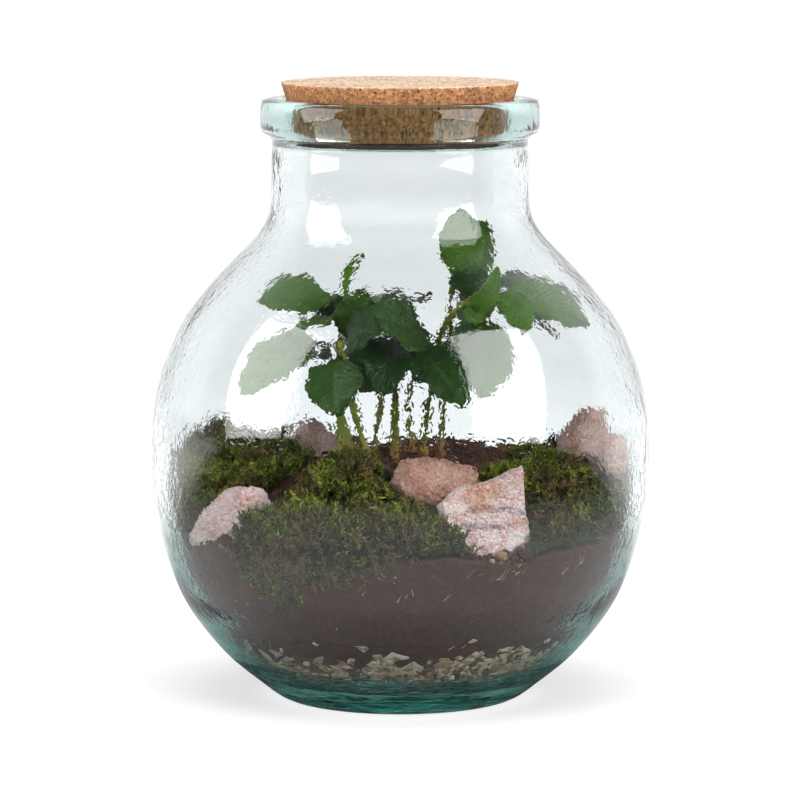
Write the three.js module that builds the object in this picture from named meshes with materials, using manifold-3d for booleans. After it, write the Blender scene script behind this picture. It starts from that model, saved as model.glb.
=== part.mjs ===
// A closed glass terrarium: a thick bottle-glass globe with a short neck and a cork stopper, and in it a bed
// of gravel, potting soil, moss cushions, rough pink stones and a clump of young coffee plants.
// Millimetres, +Z up. The origin is under the middle of the base, and the front faces -Y.
import * as THREE from "three";
import { mergeVertices } from "three/addons/utils/BufferGeometryUtils.js";
import Module from "manifold-3d";

const wasm = await Module();
wasm.setup();

// Driving dimensions of the glass
const ROUND_SIDES = 36; // sides of everything turned round the upright axis
const FOOT_RADIUS = 56;
const FOOT_EASE = [59, 0.6]; // radius and height where the edge of the foot starts to rise
const PUNT_RADIUS = 38; // the underside is hollowed a little inside this radius
const PUNT_SLOPE = 4;
const PUNT_RISE = 2;
const FLOOR_HEIGHT = 13.5; // inside of the thick base
const FLOOR_RADIUS = 52;
const FLOOR_DISH = 1; // how much lower the floor is in the middle
const NECK_BORE = 57.2;
const NECK_WALL = 5.4;
const NECK_TOP = 273.5; // where the neck meets the collar
const COLLAR_TOP = 291.5;
const COLLAR_RADIUS = 67.4;
const COLLAR_ROUND = 2.6;
const MOUTH_RADIUS = 55.1;
const MOUTH_BOTTOM = 282;
const MOUTH_ROUND = 2.5;
const BORE_TOP = 272;

// Radius and height of the globe's outside and inside, from the base to the neck
const OUTSIDE = [
  [63, 3], [70, 8.5], [83.8, 20], [97.7, 36], [107.2, 51], [115, 72], [120, 95], [122, 118], [120.3, 142],
  [115.2, 163], [106, 183.5], [93.5, 200], [80.4, 214], [69, 226], [64.2, 234], [62.7, 243], [62.6, 258],
];
const INSIDE = [
  [FLOOR_RADIUS, FLOOR_HEIGHT], [66, 16.5], [77, 23], [86.5, 33], [94.5, 44], [103, 57], [108.8, 73],
  [113.8, 95], [115.8, 118], [114.1, 142], [108.9, 162], [99.8, 182], [87.5, 198], [74.5, 211.5],
  [63.6, 223], [58.9, 232], [57.4, 242], [NECK_BORE, 256],
];

// Driving dimensions of the cork
const CORK_TOP = 300;
const CORK_BOTTOM = 278;
const CORK_TOP_RADIUS = 58.2;
const CORK_BOTTOM_RADIUS = 51.3;
const CORK_EDGE = 0.8;

// Clearance that pieces resting on each other keep
const GAP = 0.3;

// The ground: the soil's height in the middle and how far it falls towards the glass
const SOIL_BOTTOM = 42;
const SOIL_CREST = 111;
const SOIL_EDGE = 75; // the soil is never lower than this at the glass
const SOIL_RINGS = 9; // rings of points from the glass to the middle
const FRONT_FALL = 27;
const BACK_FALL = 3;
const BACK_VIEW = -0.55; // a direction with less of -Y in it than this has the fall of the back
const FRONT_VIEW = 0.45; // and one with more than this the fall of the front
const FALL_FROM = 42; // distance from the middle where the soil starts to fall
const FALL_TO = 112;
// Broad rises of the soil, and hollows, whose height is below 0
const HILLS = [
  { at: [70, 30], height: -4, spread: 24 },
  { at: [102, -24], height: 5, spread: 18 },
  { at: [50, -95], height: -5, spread: 14 },
  { at: [8, -74], height: -6, spread: 13 },
];
const CRUMB_HEIGHT = 1.1;
const CRUMB_SIZE = 5;

// Drainage gravel
const GRAVEL_TOP = SOIL_BOTTOM - GAP;
const GRAVEL_START = FLOOR_HEIGHT + 2; // height of its lowest pebbles
const GRAVEL_SIDES = 60;
const GRAVEL_LEVELS = 6;
const GRAVEL_SEED = 11;
const PEBBLE_DEPTH = 2.4;

// The stones: broken lumps, each with the outline that it shows from the front, as x and height from its
// middle. front and back say how much the outline has shrunk at those faces, and turn is in degrees.
const STONES = [
  {
    name: "stone_front",
    at: [39, -80, 96],
    outline: [
      [-24, 10], [-13, 18], [1, 20], [17, 27], [18, 10],
      [22, -11], [26, -25], [12, -23], [-7, -15], [-20, -1],
    ],
    depth: 16,
    front: 0.97,
    back: 0.75,
    turn: [-8, 0, 20],
    seed: 5,
  },
  {
    name: "stone_middle",
    at: [15, -58, 112.5],
    outline: [[-21, -2], [-15, 9], [-3, 12], [9, 10], [20, 6], [23, -4], [16, -13], [-2, -15], [-17, -12]],
    depth: 24,
    front: 0.72,
    back: 0.6,
    turn: [-14, 0, 4],
    seed: 23,
  },
  {
    name: "stone_left",
    at: [-78, -54, 95],
    outline: [[-23, -10], [-14, 5], [0, 14], [16, 14], [21, 7], [15, -4], [1, -13], [-15, -16]],
    depth: 21,
    front: 0.75,
    back: 0.65,
    turn: [-12, 0, -38],
    seed: 31,
  },
  {
    name: "stone_back_left",
    at: [-41, 42, 114],
    outline: [[-17, -6], [-15, 11], [-8, 18], [5, 12], [13, 3], [14, -12], [2, -16], [-13, -14]],
    depth: 20,
    front: 0.7,
    back: 0.6,
    turn: [0, 0, 20],
    seed: 47,
  },
  {
    name: "stone_back_right",
    at: [92, 25, 125],
    outline: [[-15, -6], [-8, 5], [1, 13], [11, 12], [14, 2], [13, -12], [0, -17], [-12, -15]],
    depth: 20,
    front: 0.75,
    back: 0.65,
    turn: [0, 0, 30],
    seed: 59,
  },
  {
    name: "stone_right_small",
    at: [104, -12, 122],
    outline: [[-7, -3], [-5, 5], [2, 8], [7, 4], [8, -6], [3, -14], [-5, -13]],
    depth: 13,
    front: 0.7,
    back: 0.65,
    turn: [0, 0, 60],
    seed: 71,
  },
];
const STONE_ROUGHNESS = 0.5;
const STONE_SEAT = 2 * GAP; // clearance of the hollow that a stone lies in

// Moss cushions: each covers the slope between two angles, from a distance inside out to the glass
const MOSSES = [
  { name: "moss_left", from: 140, to: 208, inner: 50, thick: 6.5, rows: 14, seed: 3 },
  { name: "moss_front", from: 227, to: 288, inner: 42, thick: 11, rows: 15, seed: 9 },
  { name: "moss_right", from: 303, to: 394, inner: 57, thick: 8, rows: 20, seed: 15 },
];
const MOSS_COLUMNS = 8;
const MOSS_STEPS = 12; // steps in which a point of the surface is brought to the glass
const MOSS_TUFT = 5;
const MOSS_RIM = 0.8; // thickness at the inner edge
const MOSS_END_ROUND = 30; // how far the inner edge curves out at a cushion's two ends
const MOSS_EDGE_WAVE = 5;
const MOSS_DEPTH = 5; // how far a cushion reaches into the ground before the ground is cut out of it
const MOSS_UNDERCUT = 3; // how far that hidden part stays inside the glass
const MOSS_LIFT = 2.5 * GAP; // clearance over the soil, which the two surfaces' different facets need

// Stems: foot on the ground plan, a point on the way, the head, and the radius at the foot
const STEMS = [
  { name: "stem_a", foot: [-29, 15], via: [-31, 12, 150], head: [-26, 5, 193], radius: 1.5 },
  { name: "stem_b", foot: [-23, -8], via: [-28, -9, 140], head: [-30, -8, 173], radius: 2.6 },
  { name: "stem_c", foot: [-14, -16], via: [-21, -20, 139], head: [-28, -24, 175], radius: 2.1 },
  { name: "stem_d", foot: [-12, 20], via: [-9, 24, 152], head: [-8, 30, 192], radius: 1.7 },
  { name: "stem_e", foot: [-2, 14], via: [-2, 8, 145], head: [-3, -2, 180], radius: 2.5 },
  { name: "stem_f", foot: [6, 40], via: [5, 36, 142], head: [12, 26, 168], radius: 1.6 },
  { name: "stem_g", foot: [11, 20], via: [22, -10, 182], head: [43, -36, 203], radius: 2.0 },
  { name: "stem_h", foot: [21, 38], via: [23, 30, 155], head: [26, 17, 199], radius: 1.8 },
];
const ROOT_DEPTH = 22; // how far a stem goes down into the soil
const STEM_SIDES = 7;
const STEM_STEPS = 9;
const STEM_TAPER = 0.35;

// Leaves: the letter in a name is its stem's. share is how far up the stem it grows, width is across the
// blade, face is the way its glossy side looks, and bow is how far it strays from a straight line.
const LEAVES = [
  { name: "leaf_a_upper", share: 0.99, width: 24, tip: [-68, -12, 192],
    face: [0, -0.8, 0.6], bow: [0, 0, 4] },
  { name: "leaf_a_under", share: 0.92, width: 15, tip: [-52, -30, 180],
    face: [-0.1, -0.3, 0.9], bow: [0, -4, 1] },
  { name: "leaf_a_young", share: 0.965, width: 4.5, tip: [-18, 8, 211],
    face: [0.3, -0.9, 0.2], bow: [-6, 3, 6] },
  { name: "leaf_a_back", share: 0.95, width: 24, tip: [-60, 42, 184],
    face: [-0.2, 0.3, 0.9], bow: [0, 0, 7] },
  { name: "leaf_b_left", share: 0.98, width: 29, tip: [-77, -14, 149],
    face: [-0.5, -0.7, 0.5], bow: [0, 0, 8] },
  { name: "leaf_b_back", share: 0.88, width: 25, tip: [-62, 30, 150],
    face: [-0.5, 0.4, 0.7], bow: [0, 0, 8] },
  { name: "leaf_b_upper", share: 0.99, width: 22, tip: [-16, -20, 200],
    face: [0.1, -0.95, 0.3], bow: [0, -2, 0] },
  { name: "leaf_b_front", share: 0.93, width: 22, tip: [-9, -14, 151],
    face: [0.1, -0.95, 0.3], bow: [0, -3, 3] },
  { name: "leaf_c_front", share: 0.93, width: 28, tip: [-29, -47, 143],
    face: [-0.3, -0.9, 0.3], bow: [-3, -4, 2] },
  { name: "leaf_c_right", share: 0.99, width: 23, tip: [-9, -46, 182],
    face: [-0.3, -0.8, 0.5], bow: [-3, -3, 4] },
  { name: "leaf_d_left", share: 0.98, width: 25, tip: [-38, 54, 176],
    face: [0, 0.3, 0.95], bow: [0, 0, 6] },
  { name: "leaf_d_right", share: 0.96, width: 25, tip: [12, 64, 186],
    face: [0.1, 0.1, 0.98], bow: [0, 0, 6] },
  { name: "leaf_d_front", share: 0.99, width: 20, tip: [-17, -10, 191],
    face: [0.1, -0.5, 0.9], bow: [4, 0, 3] },
  { name: "leaf_e_front", share: 0.97, width: 26, tip: [-8, -37, 152],
    face: [0, -0.95, 0.3], bow: [-1, -6, 2] },
  { name: "leaf_e_right", share: 0.9, width: 27, tip: [31, -26, 145],
    face: [0.3, -0.85, 0.4], bow: [3, -2, 4] },
  { name: "leaf_f_back", share: 0.97, width: 26, tip: [20, 74, 150],
    face: [0.2, 0.6, 0.75], bow: [0, 0, 7] },
  { name: "leaf_f_left", share: 0.9, width: 24, tip: [-24, 60, 146],
    face: [-0.4, 0.5, 0.75], bow: [0, 0, 7] },
  { name: "leaf_g_wide", share: 0.66, width: 31, tip: [-15, -38, 190],
    face: [0.1, -0.8, 0.6], bow: [0, -4, 2] },
  { name: "leaf_g_tall", share: 0.91, width: 11, tip: [45, -53, 213],
    face: [0.1, -0.95, 0.1], bow: [-1, -9, -17] },
  { name: "leaf_g_front", share: 0.98, width: 16, tip: [58, -54, 182],
    face: [0.2, -0.9, 0.4], bow: [4, 2, 5] },
  { name: "leaf_g_right", share: 0.985, width: 25, tip: [89, -26, 182],
    face: [0.1, -0.6, 0.8], bow: [0, 0, 5] },
  { name: "leaf_g_back", share: 0.95, width: 22, tip: [88, 12, 190],
    face: [0.3, 0, 0.95], bow: [0, 6, 10] },
  { name: "leaf_h_top", share: 0.99, width: 23, tip: [30, 4, 238],
    face: [-0.1, -0.95, 0.2], bow: [0, -3, 0] },
  { name: "leaf_h_side", share: 0.975, width: 21, tip: [43, 18, 229],
    face: [0.2, -0.95, 0.2], bow: [0, 2, 0] },
  { name: "leaf_h_under", share: 0.89, width: 27, tip: [41, -1, 208],
    face: [-0.1, -0.9, 0.4], bow: [0, -5, -3] },
  { name: "leaf_h_low", share: 0.93, width: 22, tip: [79, 36, 171],
    face: [0.3, 0.1, 0.95], bow: [0, 0, 9] },
  { name: "leaf_h_pale", share: 0.86, width: 33, tip: [38, -8, 147],
    face: [0.3, -0.85, 0.4], bow: [10, -4, 3] },
];
const LEAF_STATIONS = 10;
const LEAF_LANES = [-1, -0.5, 0, 0.5, 1];
const STALK_SHARE = 0.14; // of a leaf's length, before its blade begins
const STALK_WIDTH = 1.6;
const STALK_THICKNESS = 1.4;
const STALK_CLEARANCE = GAP + 0.5; // from the side of the stem to the middle of the stalk's end
const BLADE_THICKNESS = 0.75;
const BLADE_FULLNESS = 0.7; // less than 1 makes the oval blade blunter, and more makes it slimmer
const BLADE_BROADEST = 0.9; // less than 1 moves the broadest place towards the stalk
const BLADE_FOLD = 0.16; // how far the two halves rise from the midrib, for each unit of width
const EDGE_WAVE = 1.1; // height of the waves along a blade's edge
const EDGE_WAVES = 3.6; // waves along a blade
const EDGE_SCALLOP = 0.06; // how much the edge goes in and out, as a share of the width
const EDGE_SCALLOPS = 4; // along a blade

const MATERIALS = {
  glass: { color: 0xbfdfd8, roughness: 0.05, metalness: 0, transparent: true, opacity: 0.35 },
  cork: { color: 0xc99468, roughness: 0.85, metalness: 0 },
  soil: { color: 0x4d3b34, roughness: 0.95, metalness: 0 },
  gravel: { color: 0xb3a68e, roughness: 0.85, metalness: 0 },
  moss: { color: 0x4f6b24, roughness: 0.95, metalness: 0 },
  stone: { color: 0xc29a90, roughness: 0.8, metalness: 0 },
  stem: { color: 0x8a8c3c, roughness: 0.6, metalness: 0 },
  leaf: { color: 0x2c5a22, roughness: 0.35, metalness: 0 },
};

// A repeatable random draw between 0 and 1
function seeded(seed) {
  const modulus = 2 ** 31 - 1;
  let state = seed;
  return () => {
    state = (state * 16807) % modulus;
    return state / modulus;
  };
}

const smooth = THREE.MathUtils.smoothstep;
const radians = THREE.MathUtils.degToRad;

// Closed solids from points

function geometryOf(points, triangles) {
  return new THREE.BufferGeometry()
    .setAttribute("position", new THREE.Float32BufferAttribute(points.flat(), 3))
    .setIndex(triangles.flat());
}

// A closed body from rings of points stacked along an axis, with one point closing each end
function ringBody(start, rings, end) {
  const sides = rings[0].length;
  const points = [start, ...rings.flat(), end];
  const last = points.length - 1;
  const at = (ring, side) => 1 + ring * sides + (side % sides);
  const triangles = [];
  for (let s = 0; s < sides; s++) {
    triangles.push([0, at(0, s + 1), at(0, s)]);
    for (let r = 0; r + 1 < rings.length; r++) {
      triangles.push([at(r, s), at(r, s + 1), at(r + 1, s + 1)]);
      triangles.push([at(r, s), at(r + 1, s + 1), at(r + 1, s)]);
    }
    triangles.push([last, at(rings.length - 1, s), at(rings.length - 1, s + 1)]);
  }
  return geometryOf(points, triangles);
}

// A closed slab between two grids of points of the same size, split alike on both faces
function slabBody(upper, lower) {
  const rows = upper.length;
  const columns = upper[0].length;
  const points = [...upper.flat(), ...lower.flat()];
  const up = (i, j) => i * columns + j;
  const low = (i, j) => rows * columns + i * columns + j;
  const triangles = [];
  for (let i = 0; i + 1 < rows; i++) {
    for (let j = 0; j + 1 < columns; j++) {
      triangles.push([up(i, j), up(i + 1, j), up(i + 1, j + 1)]);
      triangles.push([up(i, j), up(i + 1, j + 1), up(i, j + 1)]);
      triangles.push([low(i, j), low(i + 1, j + 1), low(i + 1, j)]);
      triangles.push([low(i, j), low(i, j + 1), low(i + 1, j + 1)]);
    }
  }
  const side = (a, b, c, d) => triangles.push([a, b, c], [a, c, d]);
  for (let i = 0; i + 1 < rows; i++) {
    side(up(i, 0), low(i, 0), low(i + 1, 0), up(i + 1, 0));
    side(up(i + 1, columns - 1), low(i + 1, columns - 1), low(i, columns - 1), up(i, columns - 1));
  }
  for (let j = 0; j + 1 < columns; j++) {
    side(up(0, j + 1), low(0, j + 1), low(0, j), up(0, j));
    side(up(rows - 1, j), low(rows - 1, j), low(rows - 1, j + 1), up(rows - 1, j + 1));
  }
  return geometryOf(points, triangles);
}

// A body turned round the upright axis from points of radius and height
function turned(profile) {
  const outline = profile.map(([radius, height]) => new THREE.Vector2(radius, height));
  return new THREE.LatheGeometry(outline, ROUND_SIDES).rotateX(Math.PI / 2);
}

// Joining and cutting

function solidOf(geometry) {
  const bare = new THREE.BufferGeometry().setAttribute("position", geometry.getAttribute("position").clone());
  bare.setIndex(geometry.index);
  const merged = mergeVertices(bare, 1e-4);
  return new wasm.Manifold(
    new wasm.Mesh({
      numProp: 3,
      vertProperties: merged.attributes.position.array,
      triVerts: new Uint32Array(merged.index.array),
    }),
  );
}

// The largest body of a solid as a geometry; loose scraps of a cut are left behind
function geometryFrom(solid) {
  const largest = solid.decompose().sort((a, b) => b.volume() - a.volume())[0];
  const mesh = largest.getMesh();
  return new THREE.BufferGeometry()
    .setAttribute("position", new THREE.BufferAttribute(mesh.vertProperties, 3))
    .setIndex(new THREE.BufferAttribute(mesh.triVerts, 1));
}

function cutBy(geometry, cutters) {
  return geometryFrom(cutters.reduce((left, cutter) => left.subtract(cutter), solidOf(geometry)));
}

// The glass and its cork

function arcPoints(centreRadius, centreHeight, radius, fromDegrees, toDegrees, count) {
  return Array.from({ length: count + 1 }, (_, i) => {
    const angle = radians(fromDegrees + ((toDegrees - fromDegrees) * i) / count);
    return [centreRadius + radius * Math.cos(angle), centreHeight + radius * Math.sin(angle)];
  });
}

// Radius of the inner wall at a height
function wallRadius(height) {
  const above = INSIDE.findIndex((point) => point[1] >= height);
  if (above <= 0) return above < 0 ? NECK_BORE : FLOOR_RADIUS;
  const [r0, z0] = INSIDE[above - 1];
  const [r1, z1] = INSIDE[above];
  return r0 + ((r1 - r0) * (height - z0)) / (z1 - z0);
}

function glassVessel() {
  const collarEdge = COLLAR_RADIUS - COLLAR_ROUND;
  const mouthEdge = MOUTH_RADIUS + MOUTH_ROUND;
  return turned([
    [0, PUNT_RISE],
    [PUNT_RADIUS, PUNT_RISE],
    [PUNT_RADIUS + PUNT_SLOPE, 0],
    [FOOT_RADIUS, 0],
    FOOT_EASE,
    ...OUTSIDE,
    [NECK_BORE + NECK_WALL, NECK_TOP],
    ...arcPoints(collarEdge, NECK_TOP + COLLAR_ROUND + 1, COLLAR_ROUND, -60, 0, 1),
    ...arcPoints(collarEdge, COLLAR_TOP - COLLAR_ROUND, COLLAR_ROUND, 0, 90, 2),
    ...arcPoints(mouthEdge, COLLAR_TOP - MOUTH_ROUND, MOUTH_ROUND, 90, 180, 2),
    [MOUTH_RADIUS, MOUTH_BOTTOM],
    [NECK_BORE, BORE_TOP],
    ...INSIDE.toReversed(),
    [0, FLOOR_HEIGHT - FLOOR_DISH],
  ]);
}

// The cork: a tapered stopper with slightly eased edges
function corkStopper() {
  return turned([
    [0, CORK_BOTTOM],
    [CORK_BOTTOM_RADIUS - CORK_EDGE, CORK_BOTTOM],
    [CORK_BOTTOM_RADIUS, CORK_BOTTOM + CORK_EDGE],
    [CORK_TOP_RADIUS, CORK_TOP - CORK_EDGE],
    [CORK_TOP_RADIUS - CORK_EDGE, CORK_TOP],
    [0, CORK_TOP],
  ]);
}

// The ground

// Height of the bare soil: a crest in the middle and at the back, and slopes down to the glass at the front
function soilHeight(x, y) {
  const reach = Math.hypot(x, y);
  const frontness = smooth(-y / Math.max(reach, 1), BACK_VIEW, FRONT_VIEW);
  const fall = (BACK_FALL + (FRONT_FALL - BACK_FALL) * frontness) * smooth(reach, FALL_FROM, FALL_TO);
  const raised = HILLS.reduce((sum, hill) => {
    const away = Math.hypot(x - hill.at[0], y - hill.at[1]) / hill.spread;
    return sum + hill.height * Math.exp(-(away ** 2) / 2);
  }, 0);
  const u = x / CRUMB_SIZE;
  const v = y / CRUMB_SIZE;
  const crumbs = CRUMB_HEIGHT * (Math.sin(0.8 * u + 1) * Math.cos(v) + 0.7 * Math.sin(1.2 * u + v));
  return SOIL_CREST - fall + raised + crumbs;
}

// Height at which a surface given by heightAt meets the inner wall in one direction, found by stepping closer
function wallContact(angle, heightAt) {
  const steps = 30;
  let height = SOIL_EDGE;
  for (let i = 0; i < steps; i++) {
    const reach = wallRadius(height) - GAP;
    height = heightAt(reach * Math.cos(angle), reach * Math.sin(angle));
  }
  return height;
}

// Soil from its flat bottom up to its surface raised by lift
function soilBody(lift) {
  const surface = (x, y) => soilHeight(x, y) + lift;
  const angles = Array.from({ length: ROUND_SIDES }, (_, s) => (2 * Math.PI * s) / ROUND_SIDES);
  const contacts = angles.map((angle) => wallContact(angle, surface));
  const ring = (pointAt) => angles.map((angle, s) => pointAt(Math.cos(angle), Math.sin(angle), contacts[s]));
  const atWall = (heightOf) =>
    ring((c, s, contact) => {
      const height = heightOf(contact);
      const reach = wallRadius(height) - GAP;
      return [reach * c, reach * s, height];
    });
  const wallHeights = INSIDE.map(([, height]) => height).filter((z) => z > SOIL_BOTTOM && z < SOIL_EDGE);
  const highest = wallHeights.at(-1);
  const rings = [SOIL_BOTTOM, ...wallHeights].map((height) => atWall(() => height));
  rings.push(atWall((contact) => (highest + contact) / 2), atWall((contact) => contact));
  for (let k = SOIL_RINGS - 1; k > 0; k--) {
    rings.push(
      ring((c, s, contact) => {
        const reach = ((wallRadius(contact) - GAP) * k) / SOIL_RINGS;
        return [reach * c, reach * s, surface(reach * c, reach * s)];
      }),
    );
  }
  return ringBody([0, 0, SOIL_BOTTOM], rings, [0, 0, surface(0, 0)]);
}

// Drainage gravel: fills the glass from its floor up to the soil, with pebbles raised from its side
function gravelBed() {
  const withinFacets = Math.cos(Math.PI / ROUND_SIDES); // the wall is flat between its corners
  const draw = seeded(GRAVEL_SEED);
  const ring = (height, scale, drop) =>
    Array.from({ length: GRAVEL_SIDES }, (_, s) => {
      const angle = (2 * Math.PI * s) / GRAVEL_SIDES;
      const level = height - drop * draw();
      const reach = (wallRadius(level) * withinFacets - GAP - PEBBLE_DEPTH * draw()) * scale;
      return [reach * Math.cos(angle), reach * Math.sin(angle), level];
    });
  const rings = [];
  for (let k = 0; k <= GRAVEL_LEVELS; k++) {
    rings.push(ring(GRAVEL_START + ((GRAVEL_TOP - GRAVEL_START) * k) / GRAVEL_LEVELS, 1, 0));
  }
  rings.push(ring(GRAVEL_TOP, 0.7, PEBBLE_DEPTH / 2));
  return ringBody([0, 0, FLOOR_HEIGHT + GAP], rings, [0, 0, GRAVEL_TOP]);
}

// The stones

// Outline with a point added halfway along each side
function halved(outline) {
  return outline.flatMap((point, i) => {
    const next = outline[(i + 1) % outline.length];
    return [point, [(point[0] + next[0]) / 2, (point[1] + next[1]) / 2]];
  });
}

// A stone about its own middle, grown by margin: rings of its outline from the front face to the back one
function stoneForm(stone, margin) {
  const draw = seeded(stone.seed);
  const outline = halved(stone.outline);
  const layers = [
    { scale: stone.front * 0.5, at: -0.5 },
    { scale: stone.front, at: -0.46 },
    { scale: 1, at: -0.2 },
    { scale: 0.96, at: 0.18 },
    { scale: stone.back, at: 0.5 },
  ];
  const rough = () => STONE_ROUGHNESS * (2 * draw() - 1);
  const grow = (value) => value + Math.sign(value) * margin;
  const rings = layers.map((layer) =>
    outline.map(([x, z]) => [
      grow(x * layer.scale) + rough(),
      grow(stone.depth * layer.at) + rough(),
      grow(z * layer.scale) + rough(),
    ]),
  );
  const half = stone.depth / 2 + margin;
  return ringBody([0, -half, 0], rings, [0, half, 0]);
}

function placedStone(stone, margin) {
  const turn = new THREE.Euler(...stone.turn.map(radians));
  const place = new THREE.Matrix4().makeRotationFromEuler(turn).setPosition(...stone.at);
  return stoneForm(stone, margin).applyMatrix4(place);
}

// Moss: a domed cushion on the slope, raised into tufts at every other point
function mossCushion(moss) {
  const draw = seeded(moss.seed);
  const upper = [];
  const lower = [];
  for (let i = 0; i <= moss.rows; i++) {
    const along = i / moss.rows;
    const roundEnd = Math.sqrt(Math.max(0, 1 - (2 * along - 1) ** 6));
    const angle = radians(moss.to + (moss.from - moss.to) * along);
    const c = Math.cos(angle);
    const s = Math.sin(angle);
    const edgeWave = MOSS_EDGE_WAVE * Math.sin(5 * angle + moss.seed);
    const innerReach = moss.inner + (1 - roundEnd) * MOSS_END_ROUND + edgeWave;
    const upperRow = [];
    const lowerRow = [];
    for (let j = 0; j <= MOSS_COLUMNS; j++) {
      const across = j / MOSS_COLUMNS;
      const dome = Math.sqrt(Math.max(0, 1 - (1 - across) ** 3)) * (0.25 + 0.75 * roundEnd);
      const spike = (i + j) % 2 ? MOSS_TUFT * (0.5 + draw()) * dome : 0;
      const ground = (reach) => soilHeight(reach * c, reach * s);
      let top = SOIL_EDGE;
      let reach = innerReach;
      for (let k = 0; k < MOSS_STEPS; k++) {
        reach = innerReach + (wallRadius(top) - 2 * GAP - innerReach) * across;
        top = ground(reach) + MOSS_RIM + moss.thick * dome + spike;
      }
      const bottom = Math.min(ground(reach), top) - MOSS_DEPTH;
      const foot = Math.min(reach, wallRadius(bottom) - MOSS_UNDERCUT);
      upperRow.push([reach * c, reach * s, top]);
      lowerRow.push([foot * c, foot * s, bottom]);
    }
    upper.push(upperRow);
    lower.push(lowerRow);
  }
  return slabBody(upper, lower);
}

// The plants

function stemCurve(stem) {
  const [footX, footY] = stem.foot;
  const ground = soilHeight(footX, footY);
  return new THREE.CatmullRomCurve3([
    new THREE.Vector3(footX, footY, ground - ROOT_DEPTH),
    new THREE.Vector3(footX, footY, ground),
    new THREE.Vector3(...stem.via),
    new THREE.Vector3(...stem.head),
  ]);
}

function tubeRings(curve, steps, radiusAt, sides) {
  const frames = curve.computeFrenetFrames(steps, false);
  return Array.from({ length: steps + 1 }, (_, k) => {
    const centre = curve.getPointAt(k / steps);
    const radius = radiusAt(k / steps);
    return Array.from({ length: sides }, (_, s) => {
      const angle = (2 * Math.PI * s) / sides;
      return new THREE.Vector3()
        .addScaledVector(frames.normals[k], radius * Math.cos(angle))
        .addScaledVector(frames.binormals[k], radius * Math.sin(angle))
        .add(centre)
        .toArray();
    });
  });
}

function stemBody(stem, margin) {
  const curve = stemCurve(stem);
  const radiusAt = (t) => stem.radius * (1 - STEM_TAPER * t) + margin;
  const rings = tubeRings(curve, STEM_STEPS, radiusAt, STEM_SIDES);
  return ringBody(curve.getPointAt(0).toArray(), rings, curve.getPointAt(1).toArray());
}

// Half the width of a leaf at a share of its length: a stalk, then an oval blade with a scalloped edge
function halfWidth(leaf, t) {
  if (t <= STALK_SHARE) return STALK_WIDTH / 2;
  const along = (t - STALK_SHARE) / (1 - STALK_SHARE);
  const oval = Math.sin(Math.PI * along ** BLADE_BROADEST) ** BLADE_FULLNESS;
  const scallop = 1 + EDGE_SCALLOP * Math.cos(2 * Math.PI * EDGE_SCALLOPS * along);
  return Math.max(STALK_WIDTH / 2, (leaf.width / 2) * oval * scallop);
}

// The line from a leaf's foot, just clear of its stem, to its tip
function midrib(leaf) {
  const stem = STEMS.find((candidate) => leaf.name.startsWith(candidate.name.replace("stem", "leaf")));
  const curve = stemCurve(stem);
  const joint = curve.getPointAt(leaf.share);
  const along = curve.getTangentAt(leaf.share);
  const tip = new THREE.Vector3(...leaf.tip);
  const outward = tip.clone().sub(joint);
  outward.addScaledVector(along, -outward.dot(along)).normalize();
  const stemRadius = stem.radius * (1 - STEM_TAPER * leaf.share);
  const foot = joint.addScaledVector(outward, stemRadius + STALK_CLEARANCE);
  const third = tip.distanceTo(foot) / 3;
  const toTip = tip.clone().sub(foot).normalize();
  const bow = new THREE.Vector3(...leaf.bow);
  const start = outward.clone().add(toTip).multiplyScalar(third / 2);
  const nearFoot = foot.clone().add(start).add(bow);
  const nearTip = tip.clone().addScaledVector(toTip, -third).add(bow);
  return new THREE.CubicBezierCurve3(foot, nearFoot, nearTip, tip);
}

function leafBlade(leaf) {
  const rib = midrib(leaf);
  const face = new THREE.Vector3(...leaf.face);
  const upper = [];
  const lower = [];
  for (let i = 0; i <= LEAF_STATIONS; i++) {
    const t = i / LEAF_STATIONS;
    const along = rib.getTangentAt(t);
    const normal = face.clone().addScaledVector(along, -face.dot(along)).normalize();
    const across = new THREE.Vector3().crossVectors(normal, along);
    const blade = smooth(t, STALK_SHARE * 0.6, STALK_SHARE * 2);
    const half = halfWidth(leaf, t);
    const thickness = STALK_THICKNESS + (BLADE_THICKNESS - STALK_THICKNESS) * blade;
    const row = (offset) =>
      LEAF_LANES.map((lane) => {
        const fold = BLADE_FOLD * Math.abs(lane) * half;
        const ripple = Math.cos(2 * Math.PI * EDGE_WAVES * t + 2 * lane);
        const wave = EDGE_WAVE * blade * lane * lane * ripple;
        return rib
          .getPointAt(t)
          .addScaledVector(across, lane * half)
          .addScaledVector(normal, fold + wave + offset)
          .toArray();
      });
    upper.push(row(thickness / 2));
    lower.push(row(-thickness / 2));
  }
  return slabBody(upper, lower);
}

function piece(name, geometry, finish) {
  const mesh = new THREE.Mesh(geometry, new THREE.MeshStandardMaterial(MATERIALS[finish]));
  mesh.name = name;
  return mesh;
}

// The assembly

const terrarium = new THREE.Group();
terrarium.name = "terrarium";

const seats = [
  ...STONES.map((stone) => solidOf(placedStone(stone, STONE_SEAT))),
  ...STEMS.map((stem) => solidOf(stemBody(stem, GAP))),
];
const raisedSoil = solidOf(soilBody(MOSS_LIFT));

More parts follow.
